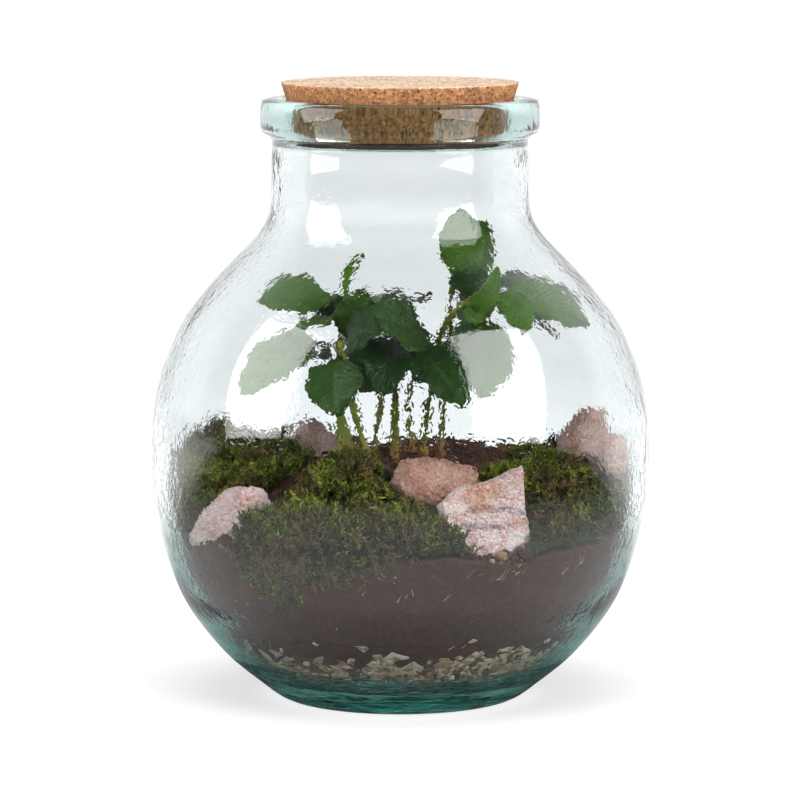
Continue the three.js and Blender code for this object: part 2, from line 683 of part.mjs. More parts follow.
terrarium.add(piece("glass_vessel", glassVessel(), "glass"));
terrarium.add(piece("cork_stopper", corkStopper(), "cork"));
terrarium.add(piece("drainage_gravel", gravelBed(), "gravel"));
terrarium.add(piece("potting_soil", cutBy(soilBody(0), seats), "soil"));
for (const moss of MOSSES) {
  terrarium.add(piece(moss.name, cutBy(mossCushion(moss), [raisedSoil, ...seats]), "moss"));
}
for (const stone of STONES) {
  terrarium.add(piece(stone.name, placedStone(stone, 0), "stone"));
}
for (const stem of STEMS) {
  terrarium.add(piece(stem.name, stemBody(stem, 0), "stem"));
}
for (const leaf of LEAVES) {
  terrarium.add(piece(leaf.name, leafBlade(leaf), "leaf"));
}

export default terrarium;
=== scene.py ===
"""A glass plant terrarium: a corked globe of ripply glass with gravel, soil, moss, stones and plants in it.

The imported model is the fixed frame. Every piece is made in metres, where the frame's node has it.
Sizes that are given in millimetres are turned into metres where they are used.
"""
import math
import random

import bmesh
import bpy
import numpy as np
from bpy.props import FloatProperty, FloatVectorProperty, IntProperty, PointerProperty
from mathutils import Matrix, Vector
from mathutils.bvhtree import BVHTree


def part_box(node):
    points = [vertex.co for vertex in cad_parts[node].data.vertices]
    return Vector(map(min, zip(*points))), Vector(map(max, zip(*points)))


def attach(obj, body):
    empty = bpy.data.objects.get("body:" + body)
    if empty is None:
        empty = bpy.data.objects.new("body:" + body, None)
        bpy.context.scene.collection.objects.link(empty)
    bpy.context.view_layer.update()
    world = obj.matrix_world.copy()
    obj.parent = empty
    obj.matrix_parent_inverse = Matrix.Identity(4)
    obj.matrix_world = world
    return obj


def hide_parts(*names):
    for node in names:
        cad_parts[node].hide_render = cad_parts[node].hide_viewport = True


bl_info = {
    "name": "Glass Plant Terrarium",
    "version": (1, 0, 0),
    "blender": (4, 5, 0),
    "location": "View3D > Sidebar > Terrarium",
    "description": "Dresses the packed terrarium with its glass, cork, ground, stones and plants",
    "category": "Object",
}

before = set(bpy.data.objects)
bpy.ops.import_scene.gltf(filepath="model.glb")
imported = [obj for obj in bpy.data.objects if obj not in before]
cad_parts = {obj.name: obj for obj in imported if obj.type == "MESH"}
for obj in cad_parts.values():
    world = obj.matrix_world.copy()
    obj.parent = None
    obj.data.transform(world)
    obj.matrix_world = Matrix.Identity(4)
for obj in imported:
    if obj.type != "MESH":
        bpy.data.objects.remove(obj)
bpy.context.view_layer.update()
MM = 0.001

# Clearance between the glass and what lies against it
CLEAR = 0.25 * MM

# Stretches of height, in metres, over which the glass changes: from thick base to wall, in looks and in its
# shadow, then where drawn streaks and the low tint end, and where the calm shoulder and the collar start
BASE_ENDS = (0.010, 0.022)
SHADE_ENDS = (0.010, 0.024)
STREAKS_END = (0.03, 0.015)
LOW_TINT_ENDS = (0.12, 0.05)
SHOULDER_STARTS = (0.165, 0.195)
COLLAR_STARTS = (0.266, 0.276)

# Stretches over which the waves of the outside start, and those of the inside start and end
OUTER_WAVES_START = (0.004, 0.03)
INNER_WAVES_START = (0.14, 0.17)
INNER_WAVES_END = (0.262, 0.272)

# Length of a step along the outline of the glass, and the share of the ripple that its outside has
GLASS_STEP = 0.0031
OUTER_RIPPLE = 0.12

# How far up the blue-green of the base climbs where the glass is seen at a slant
BASE_CLIMB = 0.045

# Voxels from which the beds, the moss, and the cork and stones are shaped
BED_VOXEL = 0.0017
MOSS_VOXEL = 0.0019
FINE_VOXEL = 0.0009

# Seeds of the random draws
GRAVEL_SEED = 21
STRAW_SEED = 77
CRUMB_SEED = 5
MOSS_SEED = 60

# Stems as in the frame, in millimetres: foot, a point on the way, head, and radius at the foot
STEMS = {
    "a": ((-29, 15), (-31, 12, 150), (-26, 5, 193), 1.5),
    "b": ((-23, -8), (-28, -9, 140), (-30, -8, 173), 2.6),
    "c": ((-14, -16), (-21, -20, 139), (-28, -24, 175), 2.1),
    "d": ((-12, 20), (-9, 24, 152), (-8, 30, 192), 1.7),
    "e": ((-2, 14), (-2, 8, 145), (-3, -2, 180), 2.5),
    "f": ((6, 40), (5, 36, 142), (12, 26, 168), 1.6),
    "g": ((11, 20), (22, -10, 182), (43, -36, 203), 2.0),
    "h": ((21, 38), (23, 30, 155), (26, 17, 199), 1.8),
}
STEM_TAPER = 0.35
STEM_KNOTS = 5
ROOT_DEPTH = 22

# Leaves as in the frame, in millimetres: share of the stem, width, tip, the way the face looks, bow, and
# age, from 0 for the youngest and palest to 1 for the darkest
LEAVES = {
    "leaf_a_upper": (0.99, 24, (-68, -12, 192), (0, -0.8, 0.6), (0, 0, 4), 0.55),
    "leaf_a_under": (0.92, 15, (-52, -30, 180), (-0.1, -0.3, 0.9), (0, -4, 1), 0.6),
    "leaf_a_young": (0.965, 4.5, (-18, 8, 211), (0.3, -0.9, 0.2), (-6, 3, 6), 0.1),
    "leaf_a_back": (0.95, 24, (-60, 42, 184), (-0.2, 0.3, 0.9), (0, 0, 7), 0.7),
    "leaf_b_left": (0.98, 29, (-77, -14, 149), (-0.5, -0.7, 0.5), (0, 0, 8), 0.5),
    "leaf_b_back": (0.88, 25, (-62, 30, 150), (-0.5, 0.4, 0.7), (0, 0, 8), 0.7),
    "leaf_b_upper": (0.99, 22, (-16, -20, 200), (0.1, -0.95, 0.3), (0, -2, 0), 0.7),
    "leaf_b_front": (0.93, 22, (-9, -14, 151), (0.1, -0.95, 0.3), (0, -3, 3), 0.85),
    "leaf_c_front": (0.93, 28, (-29, -47, 143), (-0.3, -0.9, 0.3), (-3, -4, 2), 0.85),
    "leaf_c_right": (0.99, 23, (-9, -46, 182), (-0.3, -0.8, 0.5), (-3, -3, 4), 0.95),
    "leaf_d_left": (0.98, 25, (-38, 54, 176), (0, 0.3, 0.95), (0, 0, 6), 0.8),
    "leaf_d_right": (0.96, 25, (12, 64, 186), (0.1, 0.1, 0.98), (0, 0, 6), 0.9),
    "leaf_d_front": (0.99, 20, (-17, -10, 191), (0.1, -0.5, 0.9), (4, 0, 3), 0.7),
    "leaf_e_front": (0.97, 26, (-8, -37, 152), (0, -0.95, 0.3), (-1, -6, 2), 0.95),
    "leaf_e_right": (0.9, 27, (31, -26, 145), (0.3, -0.85, 0.4), (3, -2, 4), 0.9),
    "leaf_f_back": (0.97, 26, (20, 74, 150), (0.2, 0.6, 0.75), (0, 0, 7), 0.8),
    "leaf_f_left": (0.9, 24, (-24, 60, 146), (-0.4, 0.5, 0.75), (0, 0, 7), 0.8),
    "leaf_g_wide": (0.66, 31, (-15, -38, 190), (0.1, -0.8, 0.6), (0, -4, 2), 0.85),
    "leaf_g_tall": (0.91, 11, (45, -53, 213), (0.1, -0.95, 0.1), (-1, -9, -17), 0.35),
    "leaf_g_front": (0.98, 16, (58, -54, 182), (0.2, -0.9, 0.4), (4, 2, 5), 0.5),
    "leaf_g_right": (0.985, 25, (89, -26, 182), (0.1, -0.6, 0.8), (0, 0, 5), 0.6),
    "leaf_g_back": (0.95, 22, (88, 12, 190), (0.3, 0, 0.95), (0, 6, 10), 0.9),
    "leaf_h_top": (0.99, 23, (30, 4, 238), (-0.1, -0.95, 0.2), (0, -3, 0), 0.45),
    "leaf_h_side": (0.975, 21, (43, 18, 229), (0.2, -0.95, 0.2), (0, 2, 0), 0.5),
    "leaf_h_under": (0.89, 27, (41, -1, 208), (-0.1, -0.9, 0.4), (0, -5, -3), 0.9),
    "leaf_h_low": (0.93, 22, (79, 36, 171), (0.3, 0.1, 0.95), (0, 0, 9), 0.8),
    "leaf_h_pale": (0.86, 33, (38, -8, 147), (0.3, -0.85, 0.4), (10, -4, 3), 0.5),
}
STALK_SHARE = 0.14
STALK_WIDTH = 1.6
STALK_CLEARANCE = 0.8
BLADE_THICKNESS = 0.55
BLADE_FULLNESS = 0.7
BLADE_BROADEST = 0.9
BLADE_FOLD = 0.16
EDGE_WAVE = 0.9
EDGE_WAVES = 3.6
EDGE_SCALLOP = 0.02
EDGE_SCALLOPS = 4
SIDE_VEINS = 9
VEIN_SLANT = 0.21
MIDRIB_GROOVE = 0.35

MOSSES = ("moss_left", "moss_front", "moss_right")

# A tongue of moss that hangs down between the soil and the glass: the angle where it hangs lowest and how
# far it reaches to both sides of that, in degrees, and the heights of its top and its tip in millimetres
TONGUE = {"angle": 235, "left": 12, "right": 45, "top": 87, "tip": 63}

# Square metres over which the tongue's sprigs are tried, and the share by which the soil makes room for it
TONGUE_AREA = 0.0034
TONGUE_ROOM = 0.03

# How near a stone, in metres, the sprigs of the moss are kept short
STONE_NEARNESS = 0.012

# Shares of the soil's crumbs that are slivers, and that are big
SLIVERS = 0.14
BIG_CRUMBS = 0.08

# The tint of each stone, and how strongly it shows grey bands and rust
STONES = {
    "stone_front": ((1.0, 0.94, 0.95), 0.9, 0.5),
    "stone_middle": ((0.57, 0.40, 0.32), 0.2, 0.75),
    "stone_left": ((1.0, 0.92, 0.92), 0.0, 0.15),
    "stone_back_left": ((0.62, 0.54, 0.50), 0.5, 0.4),
    "stone_back_right": ((0.66, 0.54, 0.49), 0.4, 0.4),
    "stone_right_small": ((0.76, 0.62, 0.56), 0.2, 0.5),
}


# Settings that a user would change


def number_setting(name, description, default, **kind):
    return FloatProperty(name=name, description=description, default=default, **kind)


def length_setting(name, description, default):
    return number_setting(name, description, default, unit="LENGTH")


def count_setting(name, description, default, least=0):
    return IntProperty(name=name, description=description, default=default, min=least)


def colour_setting(name, description, default):
    return FloatVectorProperty(name=name, description=description, default=default, subtype="COLOR", size=3)


class GlassSettings(bpy.types.PropertyGroup):
    rings: count_setting("Sides", "Steps of the turned glass", 144, least=24)
    wave: length_setting("Wave", "How far the blown surface strays from round", 0.00035)
    ripple: length_setting("Ripple height", "Height of the fine ripple", 0.00012)
    tint: colour_setting("Tint", "Colour of thick glass", (0.50, 0.86, 0.84))
    depth: number_setting("Depth", "How strongly a metre of glass tints", 8.0)


class CorkSettings(bpy.types.PropertyGroup):
    grain: length_setting("Grain", "Width of a pressed granule", 0.0016)
    colour: colour_setting("Colour", "Palest colour of the cork", (0.54, 0.245, 0.095))
    # The top face is paler than the side: painted sheen of the light from above, partly wear of the face
    worn: colour_setting("Worn top", "Palest colour of the top face", (0.77, 0.57, 0.41))


class GroundSettings(bpy.types.PropertyGroup):
    soil: colour_setting("Soil", "Colour of the damp soil", (0.068, 0.028, 0.020))
    dust: colour_setting("Dust", "Colour of the dust between the chips", (0.40, 0.30, 0.25))
    chip: length_setting("Chip", "Width of a gravel chip", 0.0125)
    clusters: count_setting("Clusters", "Groups of gravel chips at the glass", 84)
    crumbs: count_setting("Crumbs", "Loose crumbs on the soil", 2600)


class MossSettings(bpy.types.PropertyGroup):
    sprigs: count_setting("Sprigs", "Sprigs on each square decimetre", 3200)
    length: length_setting("Sprig length", "Length of a sprig", 0.008)


class PlantSettings(bpy.types.PropertyGroup):
    young: colour_setting("Young leaf", "Colour of a young leaf", (0.105, 0.22, 0.02))
    old: colour_setting("Old leaf", "Colour of an old leaf", (0.006, 0.022, 0.006))


class StudioSettings(bpy.types.PropertyGroup):
    distance: length_setting("Distance", "From the camera to the object's axis", 2.0086)
    height: length_setting("Height", "Of the camera above the floor", 0.4)
    tilt: number_setting("Tilt", "How far the camera looks down", math.radians(7.248), subtype="ANGLE")
    lens: number_setting("Lens", "Focal length in millimetres", 186.75)
    softbox: number_setting("Softbox", "Power of each softbox in watts", 28.0)
    shine: number_setting("Shine", "Power of a square metre of softbox, as gloss shows it", 16.0)


# Selecting, editing and handing over pieces


def pick(piece):
    """Leaves object mode as the only mode and the piece as the only selected object."""
    if bpy.context.object and bpy.context.object.mode != "OBJECT":
        bpy.ops.object.mode_set(mode="OBJECT")
    bpy.ops.object.select_all(action="DESELECT")
    piece.select_set(True)
    bpy.context.view_layer.objects.active = piece
    return piece


def added(name):
    """The object that an add operator has just made, under its own name."""
    piece = bpy.context.object
    piece.name = name
    piece.data.name = name
    return pick(piece)


def edit_whole(operator, **settings):
    """Runs a mesh operator on the whole of the selected piece."""
    bpy.ops.object.mode_set(mode="EDIT")
    bpy.ops.mesh.select_all(action="SELECT")
    operator(**settings)
    bpy.ops.object.mode_set(mode="OBJECT")


def start_copy(node, name):
    """A new piece that starts from a CAD node's mesh, with its doubles merged."""
    piece = bpy.data.objects.new(name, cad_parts[node].data.copy())
    bpy.context.collection.objects.link(piece)
    pick(piece)
    edit_whole(bpy.ops.mesh.remove_doubles, threshold=1e-6)
    bpy.ops.mesh.customdata_custom_splitnormals_clear()
    return piece


def apply_all(piece):
    pick(piece)
    for modifier in list(piece.modifiers):
        bpy.ops.object.modifier_apply(modifier=modifier.name)


def remeshed(piece, voxel):
    modifier = piece.modifiers.new("Remesh", "REMESH")
    modifier.mode = "VOXEL"
    modifier.voxel_size = voxel
    apply_all(piece)


def smoothed(piece, rounds):
    modifier = piece.modifiers.new("Smooth", "SMOOTH")
    modifier.factor = 0.5
    modifier.iterations = rounds
    apply_all(piece)


def displaced(piece, pattern, size, strength, group="", direction="NORMAL", middle=0.5, depth=2):
    """Moves the surface by a noise pattern of that size."""
    texture = bpy.data.textures.new(piece.name + "_" + pattern.lower(), pattern)
    texture.noise_scale = size
    if pattern == "CLOUDS":
        texture.noise_depth = depth
    modifier = piece.modifiers.new("Displace", "DISPLACE")
    modifier.texture = texture
    modifier.texture_coords = "LOCAL"
    modifier.strength = strength
    modifier.mid_level = middle
    modifier.direction = direction
    modifier.vertex_group = group
    apply_all(piece)


def write_attribute(mesh, name, values):
    mesh.attributes.new(name, "FLOAT", "POINT").data.foreach_set("value", np.array(values, np.float32))


def dress(piece, material, slot, *nodes, smooth=True):
    """Hands a finished piece over to the frame, with its material, and hides the nodes it stands for."""
    pick(piece)
    shade = bpy.ops.object.shade_smooth if smooth else bpy.ops.object.shade_flat
    shade()
    piece.data.materials.clear()
    piece.data.materials.append(material)
    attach(piece, "root")
    if nodes:
        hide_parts(*nodes)


def smooth_step(value, low, high):
    """0 below low, 1 above high and smooth in between, for numbers."""
    share = np.clip((value - low) / (high - low), 0, 1)
    return share * share * (3 - 2 * share)


# Curves


def unit(vectors):
    return vectors / np.linalg.norm(vectors, axis=-1, keepdims=True)


def rounded_curve(points, spacing=None, count=None):
    """Evenly spread points on the centripetal curve through the given points."""
    given = np.array(points, float)
    given = np.vstack([2 * given[0] - given[1], given, 2 * given[-1] - given[-2]])
    fine = []
    for k in range(1, len(given) - 2):
        p0, p1, p2, p3 = given[k - 1 : k + 3]
        d0, d1, d2 = (np.linalg.norm(step) ** 0.5 for step in (p1 - p0, p2 - p1, p3 - p2))
        m1 = ((p1 - p0) / d0 - (p2 - p0) / (d0 + d1) + (p2 - p1) / d1) * d1
        m2 = ((p2 - p1) / d1 - (p3 - p1) / (d1 + d2) + (p3 - p2) / d2) * d1
        t = np.linspace(0, 1, 24, endpoint=False)[:, None]
        basis = (2 * t**3 - 3 * t**2 + 1, 3 * t**2 - 2 * t**3, t**3 - 2 * t**2 + t, t**3 - t**2)
        fine.append(basis[0] * p1 + basis[1] * p2 + basis[2] * m1 + basis[3] * m2)
    return evenly(np.vstack([*fine, given[-2]]), spacing, count)


def evenly(fine, spacing=None, count=None):
    """Points spread evenly along a fine polyline."""
    lengths = np.concatenate([[0], np.cumsum(np.linalg.norm(np.diff(fine, axis=0), axis=1))])
    if count is None:
        count = max(2, round(lengths[-1] / spacing) + 1)
    wanted = np.linspace(0, lengths[-1], count)
    return np.column_stack([np.interp(wanted, lengths, fine[:, k]) for k in range(fine.shape[1])])


# Outlines of the frame's turned nodes


def half_section(node):
    """The outline of a turned node, as radius and height, from the bottom of its axis round to its top."""
    mesh = bmesh.new()
    mesh.from_mesh(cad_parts[node].data)
    bmesh.ops.remove_doubles(mesh, verts=mesh.verts, dist=1e-6)
    flat = [v for v in mesh.verts if abs(v.co.y) < 1e-6 and v.co.x > -1e-6]
    here = min((v for v in flat if v.co.x < 1e-6), key=lambda v: v.co.z)
    outline, seen = [], set()
    while here is not None:
        outline.append((here.co.x, here.co.z))
        seen.add(here)
        middle = here.co.copy()
        beside = [e.other_vert(here) for e in here.link_edges]
        beside = [v for v in beside if v in flat and v not in seen]
        here = min(beside, key=lambda v: (v.co - middle).length, default=None)
    mesh.free()
    return np.array(outline)


GLASS_OUTLINE = half_section("glass_vessel")

# Radius and height of the vessel's inner wall, from its floor up
INNER = GLASS_OUTLINE[np.argmax(GLASS_OUTLINE[:, 1]) :][::-1]


def at_angles(reach, angles, heights):
    """Points at those distances from the upright axis, at those angles and heights."""
    return np.column_stack(np.broadcast_arrays(reach * np.cos(angles), reach * np.sin(angles), heights))


def wall_radius(height):
    """Radius of the inner wall at a height or at many."""
    return np.interp(height, INNER[:, 1], INNER[:, 0])


def read_points(piece, source="vertices", key="co"):
    """The piece's points, or what another source keeps for each, as an array."""
    values = np.empty(3 * len(piece.data.vertices), np.float32)
    getattr(piece.data, source).foreach_get(key, values)
    return values.reshape(-1, 3).astype(float)


def write_points(piece, points):
    piece.data.vertices.foreach_set("co", points.astype(np.float32).ravel())
    piece.data.update()


def press_to_wall(piece, gap, edge, within=0.004):
    """Brings the side of a bed, and its edge at that height, out to the glass."""
    points, normals = read_points(piece), read_points(piece, "vertex_normals", "vector")
    reach = np.hypot(points[:, 0], points[:, 1])
    limit = wall_radius(points[:, 2]) - gap
    outward = (normals[:, :2] * points[:, :2]).sum(axis=1) / np.maximum(reach, 1e-6)
    beside = (outward > 0.4) | (np.abs(points[:, 2] - edge) < 0.0013)
    moved = beside & (reach > limit - within)
    points[moved, :2] *= (limit / np.maximum(reach, 1e-6))[moved, None]
    write_points(piece, points)


def tongue_share(points):
    """1 where the tongue of moss hangs before the soil, and 0 beside it."""
    around = np.degrees(np.arctan2(points[:, 1], points[:, 0])) % 360 - TONGUE["angle"]
    aside = np.abs(around) / np.where(around < 0, TONGUE["left"], TONGUE["right"])
    end = TONGUE["tip"] + (TONGUE["top"] - TONGUE["tip"]) * np.minimum(aside, 1) ** 0.8
    return smooth_step(1 - aside, 0, 0.2) * smooth_step(points[:, 2] / MM, end - 1, end + 4)


def surface_points(node, count, seed, upness):
    """Random places on a CAD node where its normal points up by more than upness, and the normals there.

    A count below zero stands for that many places on each square metre.
    """
    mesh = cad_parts[node].data
    mesh.calc_loop_triangles()
    corners = np.array([[mesh.vertices[i].co for i in t.vertices] for t in mesh.loop_triangles], float)
    across = np.cross(corners[:, 1] - corners[:, 0], corners[:, 2] - corners[:, 0])
    area = np.linalg.norm(across, axis=1) / 2
    normal = across / (2 * area[:, None] + 1e-12)
    share = np.where(normal[:, 2] > upness, area, 0)
    rng = np.random.default_rng(seed)
    if count < 0:
        count = int(-count * share.sum())
    chosen = rng.choice(len(area), count, p=share / share.sum())
    u, v = rng.random((2, count, 1))
    over = u + v > 1
    u, v = np.where(over, 1 - u, u), np.where(over, 1 - v, v)
    a, b, c = (corners[chosen, k] for k in range(3))
    return a + u * (b - a) + v * (c - a), normal[chosen], rng


def bases(directions, spins):
    """Turned axes, one set for each direction, whose third axis is the direction."""
    z = unit(directions)
    x = unit(np.cross(np.where(np.abs(z[:, 2:]) > 0.9, [[1.0, 0, 0]], [[0, 0, 1.0]]), z))
    y = np.cross(z, x)
    c, s = np.cos(spins)[:, None], np.sin(spins)[:, None]
    return np.stack([c * x + s * y, c * y - s * x, z], axis=2)


def gathered(name, models, picks, turned, sizes, points, shades):
    """One mesh of copies of the models: picks says which one stands at each point.

    The attribute shade keeps each copy's own shade, and along how far up its model a point is.
    """
    vertices, faces, tones, rises, first = [], [], [], [], 0
    for number, model in enumerate(models):
        mine = np.flatnonzero(picks == number)
        own = np.array([v.co for v in model.data.vertices], float)
        put = np.einsum("nij,vj->nvi", turned[mine] * sizes[mine][:, None, :], own)
        vertices.append((put + points[mine][:, None, :]).reshape(-1, 3))
        tones.append(np.repeat(shades[mine], len(own)))
        rises.append(np.tile(own[:, 2], len(mine)))
        polygons = [tuple(p.vertices) for p in model.data.polygons]
        for k in range(len(mine)):
            base = first + k * len(own)
            faces += [tuple(base + i for i in p) for p in polygons]
        first += len(mine) * len(own)
    vertices = np.vstack(vertices)
    reach = np.linalg.norm(vertices[:, :2], axis=1)
    allowed = wall_radius(vertices[:, 2]) - CLEAR
    vertices[:, :2] *= np.minimum(1, allowed / np.maximum(reach, 1e-9))[:, None]
    mesh = bpy.data.meshes.new(name)
    mesh.from_pydata(vertices.tolist(), [], faces)
    write_attribute(mesh, "shade", np.concatenate(tones))
    write_attribute(mesh, "along", np.concatenate(rises))
    piece = bpy.data.objects.new(name, mesh)
    bpy.context.collection.objects.link(piece)
    for model in models:
        bpy.data.objects.remove(model)
    return piece


# Building materials


def new_material(name, roughness, more=()):
    """A material with its nodes and its shader; more holds other inputs of the shader."""
    material = bpy.data.materials.new(name)
    material.use_nodes = True
    shader = material.node_tree.nodes["Principled BSDF"]
    for key, value in {"Roughness": roughness, **dict(more)}.items():
        shader.inputs[key].default_value = value
    return material, material.node_tree, shader


def node(tree, kind, inputs=(), **settings):
    """A shader node with its settings, and inputs given as numbers, colours or other nodes' outputs."""
    made = tree.nodes.new("ShaderNode" + kind)
    for key, value in settings.items():
        setattr(made, key, value)
    for key, value in dict(inputs).items():
        if isinstance(value, bpy.types.NodeSocket):
            tree.links.new(value, made.inputs[key])
        else:
            made.inputs[key].default_value = value
    return made


def place(tree, scale=(1, 1, 1), turn=(0, 0, 0)):
    """Object coordinates in metres, stretched and turned."""
    coordinates = node(tree, "TexCoord").outputs["Object"]
    if scale == (1, 1, 1) and turn == (0, 0, 0):
        return coordinates
    return node(tree, "Mapping", {"Vector": coordinates, "Scale": scale, "Rotation": turn}).outputs[0]


def noise(tree, size, detail=3.0, roughness=0.5, distortion=0.0, vector=None):
    """Noise between 0 and 1 with features of that size in metres."""
    inputs = {"Scale": 1 / size, "Detail": detail, "Roughness": roughness, "Distortion": distortion}
    inputs["Vector"] = vector or place(tree)
    return node(tree, "TexNoise", inputs).outputs[0]


def cells(tree, size, output="Distance", feature="F1", vector=None):
    """Distance from the middle, or the edge, of random cells of that size in metres."""
    inputs = {"Scale": 1 / size, "Vector": vector or place(tree)}
    return node(tree, "TexVoronoi", inputs, feature=feature).outputs[output]


def draws(tree, size, channel=0):
    """A number drawn for each cell, one of three."""
    return node(tree, "SeparateColor", {0: cells(tree, size, "Color")}).outputs[channel]


def ramp(tree, value, *stops):
    """A colour ramp from pairs of position and colour."""
    made = node(tree, "ValToRGB", {"Fac": value})
    elements = made.color_ramp.elements
    while len(elements) < len(stops):
        elements.new(0.5)
    for element, (position, colour) in zip(elements, stops):
        element.position = position
        element.color = (*colour, 1)
    return made.outputs[0]


def greys(tree, value, *stops):
    """A ramp of greys from pairs of position and brightness."""
    return ramp(tree, value, *((position, (grey, grey, grey)) for position, grey in stops))


def attribute(tree, name):
    return node(tree, "Attribute", attribute_name=name).outputs["Fac"]


def painted(tree, shader, colour):
    tree.links.new(colour, shader.inputs["Base Color"])


def mixed(tree, share, a, b, blend="MIX"):
    """Colour a turned into colour b by a share."""
    made = node(tree, "Mix", data_type="RGBA", blend_type=blend)
    for socket, value in ((made.inputs[0], share), (made.inputs[6], a), (made.inputs[7], b)):
        if isinstance(value, bpy.types.NodeSocket):
            tree.links.new(value, socket)
        else:
            socket.default_value = value if isinstance(value, (int, float)) else (*value, 1)
    return made.outputs[2]


def calculated(tree, operation, a, b=0.0):
    return node(tree, "Math", {0: a, 1: b}, operation=operation).outputs[0]


def times(tree, a, b):
    return calculated(tree, "MULTIPLY", a, b)


def scaled(tree, value, at_zero, at_one):
    """Runs from one number where the value is 0 to another where it is 1."""
    return node(tree, "MapRange", {"Value": value, "To Min": at_zero, "To Max": at_one}).outputs[0]


def between(tree, value, low, high):
    """0 below low, 1 above high and smooth in between, for materials."""
    inputs = {"Value": value, "From Min": low, "From Max": high}
    return node(tree, "MapRange", inputs, interpolation_type="SMOOTHSTEP").outputs[0]


def patterned(tree, share, colour, value, *stops):
    """A colour made lighter and darker by a pattern, with stops of position and brightness."""
    return mixed(tree, share, colour, greys(tree, value, *stops), "OVERLAY")


def height_of(tree):
    return node(tree, "SeparateXYZ", {0: place(tree)}).outputs["Z"]


def bumped(tree, shader, *layers, strength=1.0):
    """Puts bump layers, each a height between 0 and 1 and its size in metres, on a shader."""
    normal = None
    for height, distance in layers:
        inputs = {"Height": height, "Distance": distance, "Strength": strength}
        if normal:
            inputs["Normal"] = normal
        normal = node(tree, "Bump", inputs).outputs[0]
    tree.links.new(normal, shader.inputs["Normal"])


# The glass


def faces_out(vertex):
    """True on the outside of the vessel, and false on its inside."""
    return vertex.normal.x * vertex.co.x + vertex.normal.y * vertex.co.y > 0


def glass_material(glass):
    material, tree, shader = new_material("bottle_glass", 0.0, {"Transmission Weight": 1.0, "IOR": 1.5})
    height = height_of(tree)
    facing = node(tree, "LayerWeight").outputs["Facing"]
    climb = times(tree, between(tree, facing, 0.58, 0.9), BASE_CLIMB)
    upward = between(tree, calculated(tree, "SUBTRACT", height, climb), *BASE_ENDS)
    grazing = between(tree, facing, 0.35, 0.75)
    layers = noise(tree, 0.016, roughness=0.6, vector=place(tree, scale=(0.3, 0.3, 3.5)))
    thick = ramp(tree, layers, (0.38, (0.04, 0.31, 0.25)), (0.62, (0.16, 0.88, 0.72)))
    clear = mixed(tree, between(tree, height, *COLLAR_STARTS), (0.920, 0.934, 0.942), (0.69, 0.80, 0.79))
    low = between(tree, height, *LOW_TINT_ENDS)
    thin = mixed(tree, times(tree, grazing, low), clear, (0.12, 0.42, 0.38))
    painted(tree, shader, mixed(tree, upward, thick, thin))
    shoulder = times(tree, between(tree, facing, 0.4, 0.75), between(tree, height, *SHOULDER_STARTS))
    rippled = times(tree, attribute(tree, "ripple"), scaled(tree, shoulder, 1.0, 0.2))
    coarse = noise(tree, 0.012, detail=1.0, distortion=0.4)
    fine = noise(tree, 0.0028, detail=1.0, distortion=0.4)
    bumped(tree, shader, (coarse, glass.ripple * 1.6), (fine, glass.ripple * 0.85), strength=rippled)
    drawn = times(tree, layers, between(tree, height, *STREAKS_END))
    ripples = shader.inputs["Normal"].links[0].from_socket
    streaked = node(tree, "Bump", {"Height": drawn, "Distance": 0.002, "Normal": ripples})
    tree.links.new(streaked.outputs[0], shader.inputs["Normal"])
    shadow = node(tree, "LightPath").outputs["Is Shadow Ray"]
    shadow_colour = mixed(tree, between(tree, height, *SHADE_ENDS), (0.20, 0.52, 0.45), (0.97, 0.99, 0.985))
    passed = node(tree, "BsdfTransparent", {"Color": shadow_colour})
    both = node(tree, "MixShader", {0: shadow, 1: shader.outputs[0], 2: passed.outputs[0]})
    output = tree.nodes["Material Output"]
    tree.links.new(both.outputs[0], output.inputs["Surface"])
    tinted = node(tree, "VolumeAbsorption", {"Color": (*glass.tint, 1), "Density": glass.depth})
    tree.links.new(tinted.outputs[0], output.inputs["Volume"])
    return material


class TERRARIUM_OT_glass(bpy.types.Operator):
    """Turns the ripply glass vessel on the outline of its CAD node"""

    bl_idname = "terrarium.glass"
    bl_label = "Glass vessel"

    def execute(self, context):
        glass = context.scene.terrarium_glass
        outline = rounded_curve(GLASS_OUTLINE, spacing=GLASS_STEP)
        outline[:, 1] = np.maximum(outline[:, 1], 0)
        outline[[0, -1], 0] = 0
        bpy.ops.mesh.primitive_plane_add(size=0.001, location=(0, 0, 0))
        piece = added("glass_vessel_blown")
        bpy.ops.object.mode_set(mode="EDIT")
        bpy.ops.mesh.select_all(action="SELECT")
        bpy.ops.mesh.merge(type="CENTER")
        bpy.ops.transform.translate(value=(0, 0, outline[0][1]))
        for before, after in zip(outline, outline[1:]):
            step = (after[0] - before[0], 0, after[1] - before[1])
            bpy.ops.mesh.extrude_vertices_move(TRANSFORM_OT_translate={"value": step})
        edit_whole(bpy.ops.mesh.spin, steps=glass.rings, angle=2 * math.pi, axis=(0, 0, 1))
        edit_whole(bpy.ops.mesh.remove_doubles, threshold=1e-6)
        edit_whole(bpy.ops.mesh.normals_make_consistent, inside=False)
        waved = piece.vertex_groups.new(name="waved")
        for vertex in piece.data.vertices:
            if faces_out(vertex):
                weight = smooth_step(vertex.co.z, *OUTER_WAVES_START)
            else:
                weight = smooth_step(vertex.co.z, *INNER_WAVES_START)
                weight *= 1 - smooth_step(vertex.co.z, *INNER_WAVES_END)
            waved.add([vertex.index], float(weight), "REPLACE")
        displaced(piece, "CLOUDS", 0.035, glass.wave, group="waved")
        ripple = [OUTER_RIPPLE if faces_out(vertex) else 1.0 for vertex in piece.data.vertices]
        write_attribute(piece.data, "ripple", ripple)
        dress(piece, glass_material(glass), "glass", "glass_vessel")
        return {"FINISHED"}


# The cork


